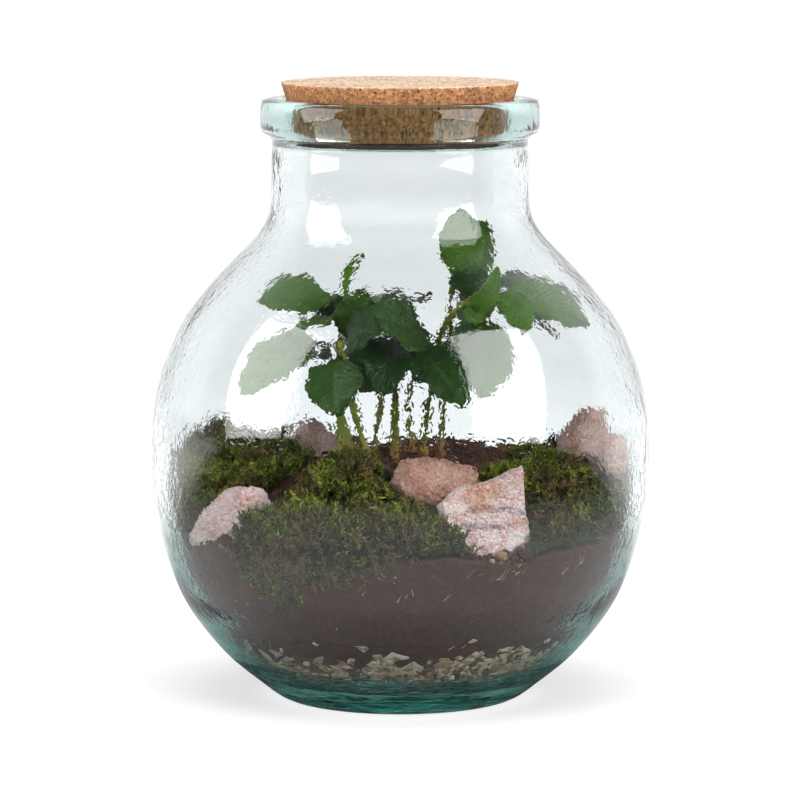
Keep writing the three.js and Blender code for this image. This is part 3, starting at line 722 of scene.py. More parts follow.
def cork_material(cork):
    material, tree, shader = new_material("pressed_cork", 0.82)
    tone = draws(tree, cork.grain)
    # Paler top face, with fewer dark specks: painted sheen of the light from above, partly wear
    top = between(tree, height_of(tree), 0.2988, 0.2996)
    colour = mixed(tree, top, cork.colour, cork.worn)
    shades = greys(tree, tone, (0.0, 0.38), (0.25, 0.64), (0.7, 0.82), (1.0, 1.0))
    granules = mixed(tree, 1.0, colour, shades, "MULTIPLY")
    fleck = cells(tree, cork.grain * 0.8, vector=place(tree, scale=(1, 1, 1.3), turn=(0.4, 0.2, 0)))
    speck = between(tree, noise(tree, 0.0011, detail=4.0, roughness=0.6), 0.55, 0.60)
    edge = between(tree, fleck, 0.38, 0.56)
    dark = times(tree, times(tree, speck, edge), scaled(tree, top, 1.0, 0.2))
    with_specks = mixed(tree, dark, granules, (0.035, 0.015, 0.008))
    seams = between(tree, cells(tree, cork.grain, feature="DISTANCE_TO_EDGE"), 0.0, 0.07)
    seamed = mixed(tree, seams, (0.19, 0.08, 0.035), with_specks)
    side = between(tree, noise(tree, 0.02, detail=2.0), 0.3, 0.7)
    painted(tree, shader, mixed(tree, side, seamed, with_specks))
    bumped(tree, shader, (noise(tree, 0.0008), 0.0003), (cells(tree, cork.grain), 0.0004))
    return material


class TERRARIUM_OT_cork(bpy.types.Operator):
    """Makes the tapered cork of pressed granules"""

    bl_idname = "terrarium.cork"
    bl_label = "Cork stopper"

    def execute(self, context):
        cork = context.scene.terrarium_cork
        outline = half_section("cork_stopper")
        low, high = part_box("cork_stopper")
        bottom, top = outline[:, 0][:3].max(), high.x
        middle = (0, 0, (low.z + high.z) / 2)
        bpy.ops.mesh.primitive_cone_add(
            vertices=180, radius1=bottom, radius2=top, depth=high.z - low.z, location=middle
        )
        piece = added("cork_stopper_pressed")
        bpy.ops.object.transform_apply(location=True, rotation=True, scale=True)
        edit_whole(bpy.ops.mesh.bevel, offset=0.0008, segments=2, affect="EDGES")
        remeshed(piece, FINE_VOXEL)
        displaced(piece, "VORONOI", cork.grain, -0.0005, middle=0.0)
        displaced(piece, "CLOUDS", 0.0025, 0.0004, middle=1.0)
        dress(piece, cork_material(cork), "cork", "cork_stopper")
        return {"FINISHED"}


# Gravel, soil and crumbs


def chip_models(prefix, count, seed, rough=0.16):
    """Angular lumps one metre across, each a coarse sphere whose points are moved at random."""
    models = []
    for k in range(count):
        bpy.ops.mesh.primitive_ico_sphere_add(subdivisions=1, radius=0.5)
        model = added(f"{prefix}_{k}")
        edit_whole(bpy.ops.transform.vertex_random, offset=rough, seed=seed + k)
        models.append(model)
    return models


def ground_material(ground):
    """Damp soil above and dusty gravel below, with a ragged change between them."""
    material, tree, shader = new_material("damp_soil_over_dust", 0.92)
    patches = noise(tree, 0.018, detail=6.0, roughness=0.65)
    grains = noise(tree, 0.0026, roughness=0.6)
    ragged = calculated(tree, "ADD", height_of(tree), times(tree, patches, 0.026))
    colour = mixed(tree, between(tree, ragged, 0.036, 0.050), ground.dust, ground.soil)
    base = mixed(tree, 1.0, colour, greys(tree, patches, (0.3, 0.6), (0.7, 1.0)), "MULTIPLY")
    tones = ramp(tree, grains, (0.35, (0.25, 0.25, 0.25)), (0.7, (0.9, 0.86, 0.84)))
    grained = mixed(tree, 0.55, base, tones, "OVERLAY")
    fleck = calculated(tree, "LESS_THAN", cells(tree, 0.0047), 0.11)
    rare = calculated(tree, "GREATER_THAN", draws(tree, 0.0047, channel=1), 0.8)
    painted(tree, shader, mixed(tree, times(tree, fleck, rare), grained, (0.35, 0.27, 0.21)))
    bumped(tree, shader, (grains, 0.0004), (noise(tree, 0.007), 0.001))
    return material


def crumb_material(ground):
    material, tree, shader = new_material("soil_crumbs", 0.9)
    colour = Vector(ground.soil)
    tones = ramp(
        tree,
        attribute(tree, "shade"),
        (0.0, colour * 0.5),
        (0.6, colour * 1.2),
        (0.88, (0.13, 0.065, 0.035)),
        (1.0, (0.34, 0.21, 0.12)),
    )
    grains = noise(tree, 0.0012)
    painted(tree, shader, patterned(tree, 0.5, tones, grains, (0.3, 0.2), (0.7, 0.9)))
    bumped(tree, shader, (grains, 0.0005))
    return material


def chip_material():
    material, tree, shader = new_material("gravel_chips", 0.8)
    tones = ramp(
        tree,
        attribute(tree, "shade"),
        (0.0, (0.42, 0.29, 0.19)),
        (0.4, (0.72, 0.54, 0.36)),
        (0.75, (0.92, 0.77, 0.58)),
        (1.0, (0.62, 0.55, 0.48)),
    )
    dirt = between(tree, noise(tree, 0.004, detail=5.0, roughness=0.7), 0.48, 0.62)
    painted(tree, shader, mixed(tree, dirt, tones, (0.22, 0.15, 0.11)))
    bumped(tree, shader, (noise(tree, 0.0012, detail=4.0), 0.0004))
    return material


class TERRARIUM_OT_gravel(bpy.types.Operator):
    """Makes the drainage gravel: a dusty bed with chips lying against the glass"""

    bl_idname = "terrarium.gravel"
    bl_label = "Drainage gravel"

    def execute(self, context):
        ground = context.scene.terrarium_ground
        bed = start_copy("drainage_gravel", "drainage_gravel_bed")
        remeshed(bed, BED_VOXEL)
        smoothed(bed, 4)
        depth = 0.0016 * (1 - smooth_step(read_points(bed)[:, 2], 0.020, 0.029))
        press_to_wall(bed, CLEAR + 0.0003 + depth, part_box("drainage_gravel")[1].z, within=0.007)
        dress(bed, ground_material(ground), "gravel", "drainage_gravel")
        low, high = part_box("drainage_gravel")
        rng = np.random.default_rng(GRAVEL_SEED)
        points, outward, sizes = [], [], []
        for _ in range(ground.clusters):
            middle = rng.uniform(0, 2 * math.pi)
            rise = low.z + 0.005 + 0.011 * rng.random() ** 1.4
            for _ in range(rng.integers(3, 11)):
                width = ground.chip * (0.25 + 0.75 * rng.random() ** 1.2)
                level = min(rise + abs(rng.normal(0, 0.0055)), high.z + 0.002)
                angle = middle + rng.normal(0, 0.085)
                reach = wall_radius(level) - CLEAR - 0.13 * width
                points.append((reach * math.cos(angle), reach * math.sin(angle), level))
                outward.append((math.cos(angle), math.sin(angle), -1.0))
                sizes.append((width * rng.uniform(0.7, 1.3), width * rng.uniform(0.6, 1.0), width * 0.3))
        count = len(points)
        chips = gathered(
            "gravel_chips",
            chip_models("chip", 8, 40, rough=0.24),
            rng.integers(0, 8, count),
            bases(np.array(outward), rng.uniform(0, 2 * math.pi, count)),
            np.array(sizes),
            np.array(points),
            rng.random(count),
        )
        dress(chips, chip_material(), "gravel", smooth=False)
        return {"FINISHED"}


def straw_material():
    material, tree, shader = new_material("straw", 0.6)
    tones = (0.0, (0.22, 0.11, 0.06)), (0.5, (0.50, 0.34, 0.20)), (1.0, (0.60, 0.53, 0.45))
    colour = ramp(tree, attribute(tree, "shade"), *tones)
    grain = noise(tree, 0.0006, detail=2.0, vector=place(tree, scale=(1, 1, 0.3)))
    painted(tree, shader, patterned(tree, 0.4, colour, grain, (0.3, 0.3), (0.7, 0.7)))
    bumped(tree, shader, (grain, 0.0002))
    return material


# Tufts of straw against the glass: their place around in degrees, height in mm and number of splinters
STRAW = (
    (206, 44, 9), (218, 52, 6), (229, 36, 8), (243, 76, 5), (256, 74, 5),
    (270, 70, 2), (281, 68, 1), (293, 75, 6), (301, 77, 5), (318, 79, 6),
    (334, 66, 4), (288, 40, 2), (30, 70, 6), (90, 66, 7), (140, 72, 6),
)


def straw_splinters():
    """Slim splinters of straw and root, flat against the glass at the edge of the soil and below it."""
    rng = np.random.default_rng(STRAW_SEED)
    bpy.ops.mesh.primitive_cone_add(vertices=5, radius1=0.5, radius2=0.2, depth=1)
    middles, levels, counts = np.array(STRAW).T
    count = int(counts.sum()) + 2
    angles = np.radians(np.append([270.5, 297], np.repeat(middles, counts) + rng.normal(0, 3.2, count - 2)))
    heights = np.append([68.5, 75], np.repeat(levels, counts) + rng.normal(0, 2.2, count - 2)) * MM
    leans = np.append([0.45, 1.35], rng.normal(0.9, 0.7, count - 2))
    lengths = np.append([0.010, 0.012], rng.uniform(0.002, 0.008, count - 2))
    widths = np.append([0.0010, 0.0008], rng.uniform(0.0002, 0.0006, count - 2))
    reach = wall_radius(heights) - CLEAR - widths * 0.4
    outward = at_angles(1, angles, 0)
    sideways = at_angles(1, angles + math.pi / 2, 0)
    flare = (wall_radius(heights + 0.004) - wall_radius(heights - 0.004)) / 0.008
    upright = np.array([0, 0, 1.0]) + flare[:, None] * outward
    directions = sideways * np.sin(leans)[:, None] + upright * np.cos(leans)[:, None]
    return gathered(
        "straw_splinters",
        [added("splinter")],
        np.zeros(count, int),
        bases(directions, 0 * angles),
        np.column_stack([widths, widths, lengths]),
        at_angles(reach, angles, heights),
        np.append([0.6, 0.45], rng.random(count - 2)),
    )


def solid_trees(context, names):
    """The CAD nodes of those names, ready for rays and distances."""
    graph = context.evaluated_depsgraph_get()
    return [BVHTree.FromObject(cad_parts[name], graph) for name in names]


def stands_open(coverings, point):
    """True where nothing of the moss or the stones lies above a point of the soil."""
    start = Vector(point) - Vector((0, 0, 0.004))
    return all(covering.ray_cast(start, Vector((0, 0, 1)), 0.05)[0] is None for covering in coverings)


class TERRARIUM_OT_soil(bpy.types.Operator):
    """Makes the potting soil with its rough surface, loose crumbs, slivers of bark and straw"""

    bl_idname = "terrarium.soil"
    bl_label = "Potting soil"

    def execute(self, context):
        ground = context.scene.terrarium_ground
        soil = start_copy("potting_soil", "potting_soil_bed")
        remeshed(soil, BED_VOXEL)
        smoothed(soil, 6)
        press_to_wall(soil, CLEAR + 0.0001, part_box("potting_soil")[0].z)
        points = read_points(soil)
        points[:, :2] *= 1 - TONGUE_ROOM * tongue_share(points)[:, None]
        write_points(soil, points)
        top = soil.vertex_groups.new(name="top")
        for vertex in soil.data.vertices:
            if vertex.normal.z > 0.2:
                reach = math.hypot(vertex.co.x, vertex.co.y)
                inner = 1 - smooth_step(reach, 0.095, 0.108)
                top.add([vertex.index], float(0.3 + 0.7 * inner), "REPLACE")
        displaced(soil, "CLOUDS", 0.006, 0.0045, group="top", direction="Z", depth=3)
        displaced(soil, "CLOUDS", 0.002, 0.0012, group="top", direction="Z", depth=1)
        dress(soil, ground_material(ground), "soil", "potting_soil")
        coverings = solid_trees(context, (*MOSSES, *STONES))
        points, normals, rng = surface_points("potting_soil", ground.crumbs * 2, CRUMB_SEED, 0.5)
        open_ground = np.array([stands_open(coverings, p) for p in points])
        points, normals = points[open_ground][: ground.crumbs], normals[open_ground][: ground.crumbs]
        count = len(points)
        sizes = rng.uniform(0.0012, 0.0034, (count, 1)) * rng.uniform(0.7, 1.3, (count, 3))
        sizes[rng.random(count) < SLIVERS] *= (2.6, 0.8, 0.6)
        sizes[rng.random(count) < BIG_CRUMBS] *= 2.2
        directions = normals + rng.normal(0, 0.35, (count, 3))
        points = points + normals * sizes[:, 2:] * rng.uniform(0.1, 0.5, (count, 1))
        crumbs = gathered(
            "soil_crumbs",
            chip_models("crumb", 5, 90),
            rng.integers(0, 5, count),
            bases(directions, rng.uniform(0, 2 * math.pi, count)),
            sizes,
            points,
            rng.random(count) ** 1.6,
        )
        dress(crumbs, crumb_material(ground), "soil", smooth=False)
        dress(straw_splinters(), straw_material(), "soil", smooth=False)
        return {"FINISHED"}


# Moss


def moss_material():
    material, tree, shader = new_material("moss_sprigs", 0.7, {"Specular IOR Level": 0.25})
    shade = attribute(tree, "shade")
    own = times(tree, shade, 0.35)
    wide = times(tree, noise(tree, 0.016), 0.5)
    # Each sprig is darker at its foot and paler at its tip: painted shade down among the sprigs and painted
    # light on their tops, partly the paler colour of new growth
    tip = times(tree, attribute(tree, "along"), 0.35)
    tone = calculated(tree, "ADD", calculated(tree, "ADD", own, wide), tip)
    colours = ramp(
        tree,
        tone,
        (0.25, (0.010, 0.012, 0.004)),
        (0.5, (0.032, 0.042, 0.009)),
        (0.72, (0.115, 0.135, 0.018)),
        (0.92, (0.33, 0.36, 0.05)),
    )
    litter_share = times(tree, between(tree, height_of(tree), 0.110, 0.085), 0.07)
    worn = calculated(tree, "ADD", noise(tree, 0.02, detail=4.0, roughness=0.65), litter_share)
    browned = between(tree, worn, 0.47, 0.57)
    browns = (0.0, (0.04, 0.024, 0.014)), (0.7, (0.16, 0.11, 0.045)), (1.0, (0.28, 0.12, 0.06))
    litter = ramp(tree, shade, *browns)
    painted(tree, shader, mixed(tree, times(tree, browned, 0.8), colours, litter))
    return material


def moss_ground_material():
    material, tree, shader = new_material("moss_cushion", 0.9)
    fine = noise(tree, 0.002, detail=4.0)
    colour = ramp(tree, fine, (0.3, (0.008, 0.013, 0.004)), (0.7, (0.03, 0.045, 0.012)))
    painted(tree, shader, colour)
    bumped(tree, shader, (fine, 0.0008))
    return material


def sprig_model(name, leaves, seed):
    """A moss sprig one metre long: a slim cone with pointed leaves round it, each a thin spike."""
    draw = random.Random(seed)
    bpy.ops.mesh.primitive_cone_add(vertices=3, radius1=0.05, radius2=0, depth=1, location=(0, 0, 0.5))
    parts = [added(name)]
    for k in range(leaves):
        share = 0.15 + 0.8 * k / leaves
        angle = 2.4 * k + draw.uniform(-0.4, 0.4)
        lean = draw.uniform(0.5, 1.0)
        length = (0.42 - 0.2 * share) * draw.uniform(0.8, 1.2)
        out = math.sin(lean)
        away = Vector((math.cos(angle) * out, math.sin(angle) * out, math.cos(lean)))
        middle = Vector((0, 0, share)) + away * length / 2
        bpy.ops.mesh.primitive_cone_add(
            vertices=3, radius1=0.07, radius2=0, depth=length, location=middle, rotation=(0, lean, angle)
        )
        parts.append(bpy.context.object)
    bpy.ops.object.select_all(action="DESELECT")
    for part in parts:
        part.select_set(True)
    bpy.context.view_layer.objects.active = parts[0]
    bpy.ops.object.join()
    model = pick(parts[0])
    bpy.ops.object.transform_apply(location=True, rotation=True, scale=True)
    return model


def room_by_stones(stones, point):
    """How long a sprig may be, from a quarter beside a stone or 0.3 in front of one to 1 away from them."""
    here = Vector(point)
    room = 1.0
    for stone in stones:
        distance = stone.find_nearest(here, STONE_NEARNESS)[3]
        if distance is not None:
            room = min(room, max(0.25, distance / STONE_NEARNESS))
        for towards in (Vector((-here.x, -here.y, 0)).normalized(), Vector((0, 1, 0))):
            if stone.ray_cast(here, towards, STONE_NEARNESS)[0] is not None:
                room = min(room, 0.3)
    return room


def tongue_points(rng, tries):
    """Places in the tongue of moss, and the way that its sprigs hang."""
    angles = np.radians(TONGUE["angle"] + rng.uniform(-TONGUE["left"], TONGUE["right"], tries))
    heights = rng.uniform(TONGUE["tip"], TONGUE["top"], tries) * MM
    points = at_angles(wall_radius(heights) - 0.0016, angles, heights)
    kept = tongue_share(points) > 0.4
    return points[kept], at_angles(0.3, angles[kept], -0.6)


class TERRARIUM_OT_moss(bpy.types.Operator):
    """Grows the moss cushions: a rough body with sprigs all over, and a tongue of sprigs at the glass"""

    bl_idname = "terrarium.moss"
    bl_label = "Moss cushions"

    def execute(self, context):
        moss = context.scene.terrarium_moss
        sprigs, cushion = moss_material(), moss_ground_material()
        stones = solid_trees(context, STONES)
        for number, name in enumerate(MOSSES):
            body = start_copy(name, name + "_cushion")
            remeshed(body, MOSS_VOXEL)
            displaced(body, "CLOUDS", 0.004, 0.0022, middle=1.0)
            dress(body, cushion, "moss", name)
            density = moss.sprigs / 0.01
            points, normals, rng = surface_points(name, -density, MOSS_SEED + number, -0.35)
            room = np.array([room_by_stones(stones, point) for point in points])[:, None]
            directions = 0.7 * normals + [0, 0, 0.75]
            if name == "moss_front":
                hanging, down = tongue_points(rng, int(TONGUE_AREA * density))
                points = np.vstack([points, hanging])
                normals = np.vstack([normals, 0 * hanging])
                directions = np.vstack([directions, down])
                room = np.vstack([room, np.ones((len(hanging), 1))])
            count = len(points)
            directions += rng.normal(0, 0.42, (count, 3))
            x, y, z = np.hsplit(points, 3)
            clumps = np.sin(x / 0.005 + 2 * np.sin(y / 0.008)) * np.sin(z / 0.006)
            lengths = moss.length * rng.uniform(0.6, 1.25, (count, 1)) * room * (1 + 0.45 * clumps)
            if name == "moss_front":
                low_left = smooth_step(-x, 0.015, 0.045) * smooth_step(-z, -0.104, -0.094)
                lengths *= 1 + 0.45 * low_left
            green = gathered(
                name + "_sprigs",
                [sprig_model(f"sprig_{k}", 5, 7 * k) for k in range(4)],
                rng.integers(0, 4, count),
                bases(directions, rng.uniform(0, 2 * math.pi, count)),
                lengths * [[0.9, 0.9, 1.0]],
                points - normals * 0.0015,
                rng.random(count),
            )
            dress(green, sprigs, "moss")
        return {"FINISHED"}


# Stones


def stone_material(name, tint, banding, rusting):
    material, tree, shader = new_material("rose_" + name, 0.55)
    grain = draws(tree, 0.0009)
    veins = noise(tree, 0.012, detail=6.0, roughness=0.62, distortion=0.5)
    lying = place(tree, scale=(0.35, 0.35, 2.6), turn=(0.2, -0.15, 0))
    bands = noise(tree, 0.012, detail=4.0, vector=lying)
    base = ramp(
        tree,
        veins,
        (0.3, (0.68, 0.42, 0.38)),
        (0.5, (0.84, 0.61, 0.58)),
        (0.68, (0.95, 0.83, 0.80)),
    )
    band = times(tree, between(tree, bands, 0.5, 0.66), banding)
    banded = mixed(tree, band, base, (0.38, 0.27, 0.29))
    crystals = patterned(tree, 0.7, banded, grain, (0.1, 0.25), (0.55, 0.5), (0.95, 0.95))
    rust = between(tree, noise(tree, 0.02, detail=5.0, roughness=0.6), 0.52, 0.66)
    rusted = mixed(tree, times(tree, rust, rusting), crystals, (0.55, 0.24, 0.08))
    painted(tree, shader, mixed(tree, 1.0, rusted, tint, "MULTIPLY"))
    tree.links.new(greys(tree, grain, (0.0, 0.75), (1.0, 0.25)), shader.inputs["Roughness"])
    bumped(tree, shader, (cells(tree, 0.0013), 0.0007), (noise(tree, 0.004, detail=4.0), 0.0018))
    return material


class TERRARIUM_OT_stones(bpy.types.Operator):
    """Roughens the broken stones into granular rock"""

    bl_idname = "terrarium.stones"
    bl_label = "Stones"

    def execute(self, context):
        for name, finish in STONES.items():
            stone = start_copy(name, name + "_rough")
            remeshed(stone, FINE_VOXEL)
            displaced(stone, "CLOUDS", 0.007, 0.0014, depth=3)
            displaced(stone, "VORONOI", 0.0022, 0.0006)
            displaced(stone, "CLOUDS", 0.0014, 0.0006, depth=1)
            dress(stone, stone_material(name, *finish), "stone", name)
        return {"FINISHED"}


# Plants


def stem_points(letter, count):
    """Points in millimetres along a stem, from the end of its root up."""
    foot, way, head, _ = STEMS[letter]
    low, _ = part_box("stem_" + letter)
    root = low.z / MM
    return rounded_curve([(*foot, root), (*foot, root + ROOT_DEPTH), way, head], count=count)


def stem_at(letter, share):
    """Place, direction and radius of a stem at a share of its length, in millimetres."""
    points = stem_points(letter, 401)
    k = min(int(round(share * 400)), 399)
    return points[k], unit(points[k + 1] - points[k]), STEMS[letter][3] * (1 - STEM_TAPER * share)


def stem_material():
    material, tree, shader = new_material("green_stems", 0.45)
    along = between(tree, height_of(tree), 0.108, 0.132)
    broad, narrow = noise(tree, 0.01, detail=4.0), noise(tree, 0.004, detail=4.0)
    green = ramp(tree, broad, (0.35, (0.09, 0.12, 0.015)), (0.65, (0.24, 0.26, 0.04)))
    brown = ramp(tree, narrow, (0.35, (0.17, 0.07, 0.03)), (0.7, (0.42, 0.22, 0.09)))
    painted(tree, shader, mixed(tree, along, brown, green))
    streaks = noise(tree, 0.0012, vector=place(tree, scale=(1, 1, 0.2)))
    bumped(tree, shader, (streaks, 0.0004))
    return material


class TERRARIUM_OT_stems(bpy.types.Operator):
    """Draws the stems as tapered curves with slight knots"""

    bl_idname = "terrarium.stems"
    bl_label = "Stems"

    def execute(self, context):
        material = stem_material()
        for letter, (*_, radius) in STEMS.items():
            points = stem_points(letter, 46) * MM
            bpy.ops.curve.primitive_nurbs_path_add()
            curve = added(f"stem_{letter}_grown").data
            curve.splines.clear()
            spline = curve.splines.new("POLY")
            spline.points.add(len(points) - 1)
            for k, (point, target) in enumerate(zip(points, spline.points)):
                share = k / (len(points) - 1)
                knot = 1 + 0.16 * max(0, math.cos(2 * math.pi * STEM_KNOTS * share + 1)) ** 12
                target.co = (*point, 1)
                target.radius = (1 - STEM_TAPER * share) * knot
            curve.dimensions = "3D"
            curve.bevel_depth = radius * MM
            curve.bevel_resolution = 4
            curve.use_fill_caps = True
            bpy.ops.object.convert(target="MESH")
            stem = added(f"stem_{letter}_grown")
            edit_whole(bpy.ops.mesh.remove_doubles, threshold=1e-6)
            edit_whole(bpy.ops.mesh.normals_make_consistent, inside=False)
            displaced(stem, "CLOUDS", 0.006, 0.0005)
            dress(stem, material, "stem", "stem_" + letter)
        return {"FINISHED"}


def midrib(name, count):
    """The line from a leaf's foot, just clear of its stem, to its tip, in millimetres."""
    share, _, tip, _, bow, _ = LEAVES[name]
    joint, along, radius = stem_at(name[5], share)
    tip = np.array(tip, float)
    outward = unit(tip - joint - along * (tip - joint).dot(along))
    foot = joint + outward * (radius + STALK_CLEARANCE)
    third = np.linalg.norm(tip - foot) / 3
    to_tip = unit(tip - foot)
    near_foot = foot + (outward + to_tip) * third / 2 + bow
    near_tip = tip - to_tip * third + bow
    t = np.linspace(0, 1, 200)[:, None]
    first, last = (1 - t) ** 2, t**2
    curve = first * ((1 - t) * foot + 3 * t * near_foot) + last * (3 * (1 - t) * near_tip + t * tip)
    return evenly(curve, count=count)


def half_width(width, t):
    """Half the width of a leaf at a share of its length: a stalk, then an oval blade with a waved edge."""
    along = np.clip((t - STALK_SHARE) / (1 - STALK_SHARE), 0, 1)
    oval = np.sin(np.pi * along**BLADE_BROADEST) ** BLADE_FULLNESS
    scallop = 1 + EDGE_SCALLOP * np.cos(2 * np.pi * EDGE_SCALLOPS * along)
    least = STALK_WIDTH / 2 * (1 - 0.7 * smooth_step(t, 0.9, 1.0))
    return np.maximum(least, width / 2 * oval * scallop)


def leaf_material(plants):
    soft = {"Subsurface Weight": 0.12, "Subsurface Radius": (0.0006, 0.001, 0.0002)}
    material, tree, shader = new_material("coffee_leaf", 0.38, {"Specular IOR Level": 0.3, **soft})
    uv = node(tree, "SeparateXYZ", {0: node(tree, "TexCoord").outputs["UV"]})
    across = calculated(tree, "ABSOLUTE", calculated(tree, "SUBTRACT", uv.outputs[0], 0.5))
    rib = between(tree, across, 0.035, 0.012)
    slanted = calculated(tree, "SUBTRACT", uv.outputs[1], times(tree, across, 2 * VEIN_SLANT))
    wave = calculated(tree, "SINE", times(tree, slanted, 2 * math.pi * SIDE_VEINS))
    lateral = between(tree, wave, 0.93, 1.0)
    veins = calculated(tree, "MAXIMUM", rib, times(tree, lateral, 0.55))
    age = attribute(tree, "age")
    blade = mixed(tree, age, plants.young, plants.old)
    mottled = patterned(tree, 0.45, blade, noise(tree, 0.008, detail=4.0), (0.3, 0.3), (0.7, 0.75))
    painted(tree, shader, mixed(tree, times(tree, veins, 0.22), mottled, (0.12, 0.2, 0.04)))
    quilt = calculated(tree, "ABSOLUTE", wave)
    bumped(tree, shader, (quilt, 0.00025), (noise(tree, 0.0015), 0.0002))
    return material


class TERRARIUM_OT_leaves(bpy.types.Operator):
    """Shapes each leaf from a grid: stalk, waved oval blade, raised midrib and side veins"""

    bl_idname = "terrarium.leaves"
    bl_label = "Leaves"

    def execute(self, context):
        material = leaf_material(context.scene.terrarium_plants)
        rows, lanes = 45, 15
        for name, (_, width, _, face, _, age) in LEAVES.items():
            bpy.ops.mesh.primitive_grid_add(x_subdivisions=lanes - 1, y_subdivisions=rows - 1, size=1)
            leaf = added(name + "_blade")
            rib = midrib(name, rows)
            along = unit(np.gradient(rib, axis=0))
            normal = unit(face - along * (along @ face)[:, None])
            across = np.cross(normal, along)
            for vertex in leaf.data.vertices:
                t, lane = vertex.co.y + 0.5, 2 * vertex.co.x
                k = min(int(round(t * (rows - 1))), rows - 1)
                half = float(half_width(width, t))
                blade = float(smooth_step(t, STALK_SHARE * 0.6, STALK_SHARE * 2))
                wave = EDGE_WAVE * blade * lane * lane * math.cos(2 * math.pi * EDGE_WAVES * t + 2 * lane)
                ripple = math.sin(2 * math.pi * SIDE_VEINS * (t - abs(lane) * VEIN_SLANT))
                quilt = 0.15 * blade * ripple * abs(lane) * (1 - abs(lane))
                groove = MIDRIB_GROOVE * blade * math.exp(-((lane * half / 0.9) ** 2))
                rise = BLADE_FOLD * abs(lane) * half + wave + quilt - groove
                vertex.co = Vector((rib[k] + across[k] * lane * half + normal[k] * rise) * MM)
            write_attribute(leaf.data, "age", [age] * len(leaf.data.vertices))
            modifier = leaf.modifiers.new("Thickness", "SOLIDIFY")
            modifier.thickness = BLADE_THICKNESS * MM
            modifier.offset = 0
            apply_all(leaf)
            edit_whole(bpy.ops.mesh.normals_make_consistent, inside=False)
            dress(leaf, material, "leaf", name)
        return {"FINISHED"}


# The studio

# Light of the floor at a distance from the object's axis, dimmer close to the glass as a painted contact
# shadow, and how much of it shows mirrored in the glass, least close to the glass as a painted contact
# shadow there too
FLOOR_GLOW_AND_SHADOW = ((0.055, 0.72), (0.075, 0.54), (0.14, 0.59), (0.35, 0.76), (1.0, 0.9))
FLOOR_MIRRORED = (
    (0.05, 0.45), (0.06, 0.03), (0.085, 0.12), (0.11, 0.32), (0.17, 0.5), (0.30, 0.42), (0.60, 0.0),
)

# The softboxes that the glass mirrors: place, width, height and roll
SOFTBOXES = {
    "left": ((-1.288, -0.388, 0.862), 0.90, 1.37, 0.16),
    "right": ((1.075, -0.740, 0.905), 0.98, 1.39, -0.25),
}


def area_light(name, width, height, power, place_at, target):
    bpy.ops.object.light_add(type="AREA", location=place_at)
    light = bpy.context.object
    light.name = name
    light.data.shape = "RECTANGLE"
    light.data.size = width
    light.data.size_y = height
    light.data.energy = power
    direction = Vector(target) - Vector(place_at)
    light.rotation_euler = direction.to_track_quat("-Z", "Y").to_euler()
    light.visible_camera = False
    return light


def square_light(name, power, at):
    """A light that stays out of what the glass mirrors and refracts."""
    light = area_light(name, 1.0, 1.0, power, at, (0, 0, 0.15))
    light.visible_glossy = False
    light.visible_transmission = False


def mirrored_ray(tree):
    """1 for what the glass mirrors."""
    return calculated(tree, "GREATER_THAN", node(tree, "LightPath").outputs["Glossy Depth"], 0.5)


def make_floor():
    """A pale floor that glows, with a painted contact shadow close to the glass, and darker where the glass
    mirrors it.
    """
    bpy.ops.mesh.primitive_circle_add(vertices=96, radius=40.0, fill_type="NGON", location=(0, 0, 0))
    floor = added("studio_floor")
    plain = {"Specular IOR Level": 0.0, "Emission Color": (1, 1, 1, 1)}
    material, tree, shader = new_material("pale_floor", 0.9, plain)
    away = node(tree, "VectorMath", {0: place(tree)}, operation="LENGTH").outputs["Value"]
    behind = node(tree, "SeparateXYZ", {0: place(tree)}).outputs["Y"]
    # Painted contact shadow: close to the glass the floor is dimmer, in its own glow and in what the glass
    # mirrors
    mirrored_light_and_painted_shadow = calculated(tree, "MAXIMUM", between(tree, behind, 0.0, 0.4), greys(tree, away, *FLOOR_MIRRORED))
    share = scaled(tree, mirrored_ray(tree), 1.0, mirrored_light_and_painted_shadow)
    painted(tree, shader, mixed(tree, share, (0, 0, 0), (0.45, 0.45, 0.45)))
    glow_and_painted_shadow = times(tree, greys(tree, away, *FLOOR_GLOW_AND_SHADOW), share)
    tree.links.new(glow_and_painted_shadow, shader.inputs["Emission Strength"])
    floor.data.materials.append(material)


def make_lights(studio):
    """Softboxes that only show in gloss, and square lights that only light."""
    for word, (at, width, height, roll) in SOFTBOXES.items():
        power = studio.shine * width * height
        shine = area_light("softbox_" + word, width, height, power, at, (0, 0, 0.17))
        shine.rotation_euler.rotate_axis("Z", roll)
        shine.visible_diffuse = False
        square_light("soft_light_" + word, studio.softbox, (at[0], -0.95, 0.65))
    square_light("top_light", studio.softbox * 0.6, (0, -0.1, 1.6))


def make_white_room(scene):
    """Surroundings that look white, light dimly, and are dark in front where the glass mirrors them."""
    world = bpy.data.worlds.new("white_room")
    scene.world = world
    world.use_nodes = True
    tree = world.node_tree
    path = node(tree, "LightPath")
    bounced = calculated(tree, "ADD", path.outputs["Glossy Depth"], path.outputs["Diffuse Depth"])
    straight = calculated(tree, "LESS_THAN", bounced, 0.5)
    through = times(tree, path.outputs["Is Transmission Ray"], straight)
    seen = calculated(tree, "MAXIMUM", path.outputs["Is Camera Ray"], through)
    behind = node(tree, "SeparateXYZ", {0: node(tree, "TexCoord").outputs["Generated"]}).outputs["Y"]
    spread = {"Value": behind, "From Min": 0.0, "From Max": 0.5, "To Min": 0.04, "To Max": 0.9}
    backdrop = node(tree, "MapRange", spread).outputs[0]
    strength = scaled(tree, seen, scaled(tree, mirrored_ray(tree), 0.3, backdrop), 1.0)
    background = tree.nodes["Background"]
    tree.links.new(strength, background.inputs["Strength"])
    background.inputs["Color"].default_value = (1, 1, 1, 1)


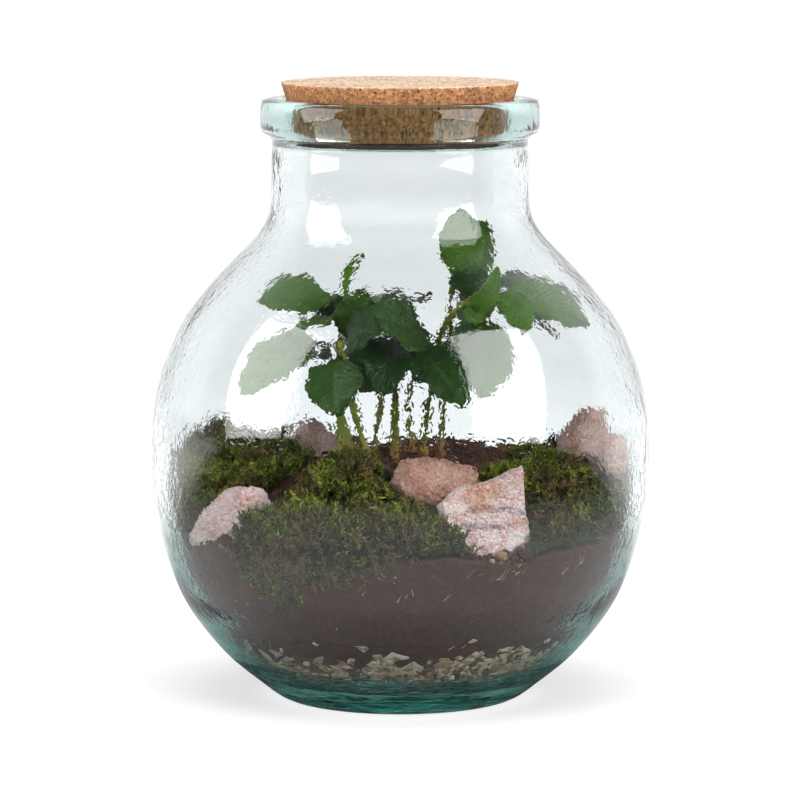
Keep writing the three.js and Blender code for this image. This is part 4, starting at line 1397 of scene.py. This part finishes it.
class TERRARIUM_OT_studio(bpy.types.Operator):
    """Sets the pale floor, the softboxes, the white surroundings and the camera"""

    bl_idname = "terrarium.studio"
    bl_label = "Studio"

    def execute(self, context):
        scene = context.scene
        studio = scene.terrarium_studio
        make_floor()
        make_lights(studio)
        make_white_room(scene)
        turned = (math.pi / 2 - studio.tilt, 0, 0)
        bpy.ops.object.camera_add(location=(0, -studio.distance, studio.height), rotation=turned)
        camera = context.object
        camera.data.lens = studio.lens
        camera.data.sensor_width = 36
        camera.data.dof.use_dof = False
        camera.data.clip_end = 50
        scene.camera = camera
        scene.view_settings.view_transform = "Standard"
        scene.view_settings.look = "None"
        scene.cycles.max_bounces = 20
        scene.cycles.transmission_bounces = 14
        scene.cycles.transparent_max_bounces = 12
        scene.cycles.caustics_reflective = False
        scene.cycles.caustics_refractive = False
        return {"FINISHED"}


class TERRARIUM_PT_pieces(bpy.types.Panel):
    """Lists the terrarium's pieces in the sidebar"""

    bl_label = "Glass plant terrarium"
    bl_idname = "TERRARIUM_PT_pieces"
    bl_space_type = "VIEW_3D"
    bl_region_type = "UI"
    bl_category = "Terrarium"

    def draw(self, context):
        for operator in OPERATORS:
            self.layout.operator(operator.bl_idname)
        for name in SETTINGS:
            box = self.layout.box()
            settings = getattr(context.scene, name)
            for key in settings.__annotations__:
                box.prop(settings, key)


SETTINGS = {
    "terrarium_glass": GlassSettings,
    "terrarium_cork": CorkSettings,
    "terrarium_ground": GroundSettings,
    "terrarium_moss": MossSettings,
    "terrarium_plants": PlantSettings,
    "terrarium_studio": StudioSettings,
}
OPERATORS = (
    TERRARIUM_OT_glass,
    TERRARIUM_OT_cork,
    TERRARIUM_OT_gravel,
    TERRARIUM_OT_soil,
    TERRARIUM_OT_moss,
    TERRARIUM_OT_stones,
    TERRARIUM_OT_stems,
    TERRARIUM_OT_leaves,
    TERRARIUM_OT_studio,
)


def register():
    for kind in (*SETTINGS.values(), *OPERATORS, TERRARIUM_PT_pieces):
        bpy.utils.register_class(kind)
    for name, kind in SETTINGS.items():
        setattr(bpy.types.Scene, name, PointerProperty(type=kind))


def unregister():
    for name in SETTINGS:
        delattr(bpy.types.Scene, name)
    for kind in (TERRARIUM_PT_pieces, *OPERATORS, *SETTINGS.values()):
        bpy.utils.unregister_class(kind)


def main():
    register()
    bpy.ops.terrarium.glass()
    bpy.ops.terrarium.cork()
    bpy.ops.terrarium.gravel()
    bpy.ops.terrarium.soil()
    bpy.ops.terrarium.moss()
    bpy.ops.terrarium.stones()
    bpy.ops.terrarium.stems()
    bpy.ops.terrarium.leaves()
    bpy.ops.terrarium.studio()


if __name__ == "__main__":
    main()
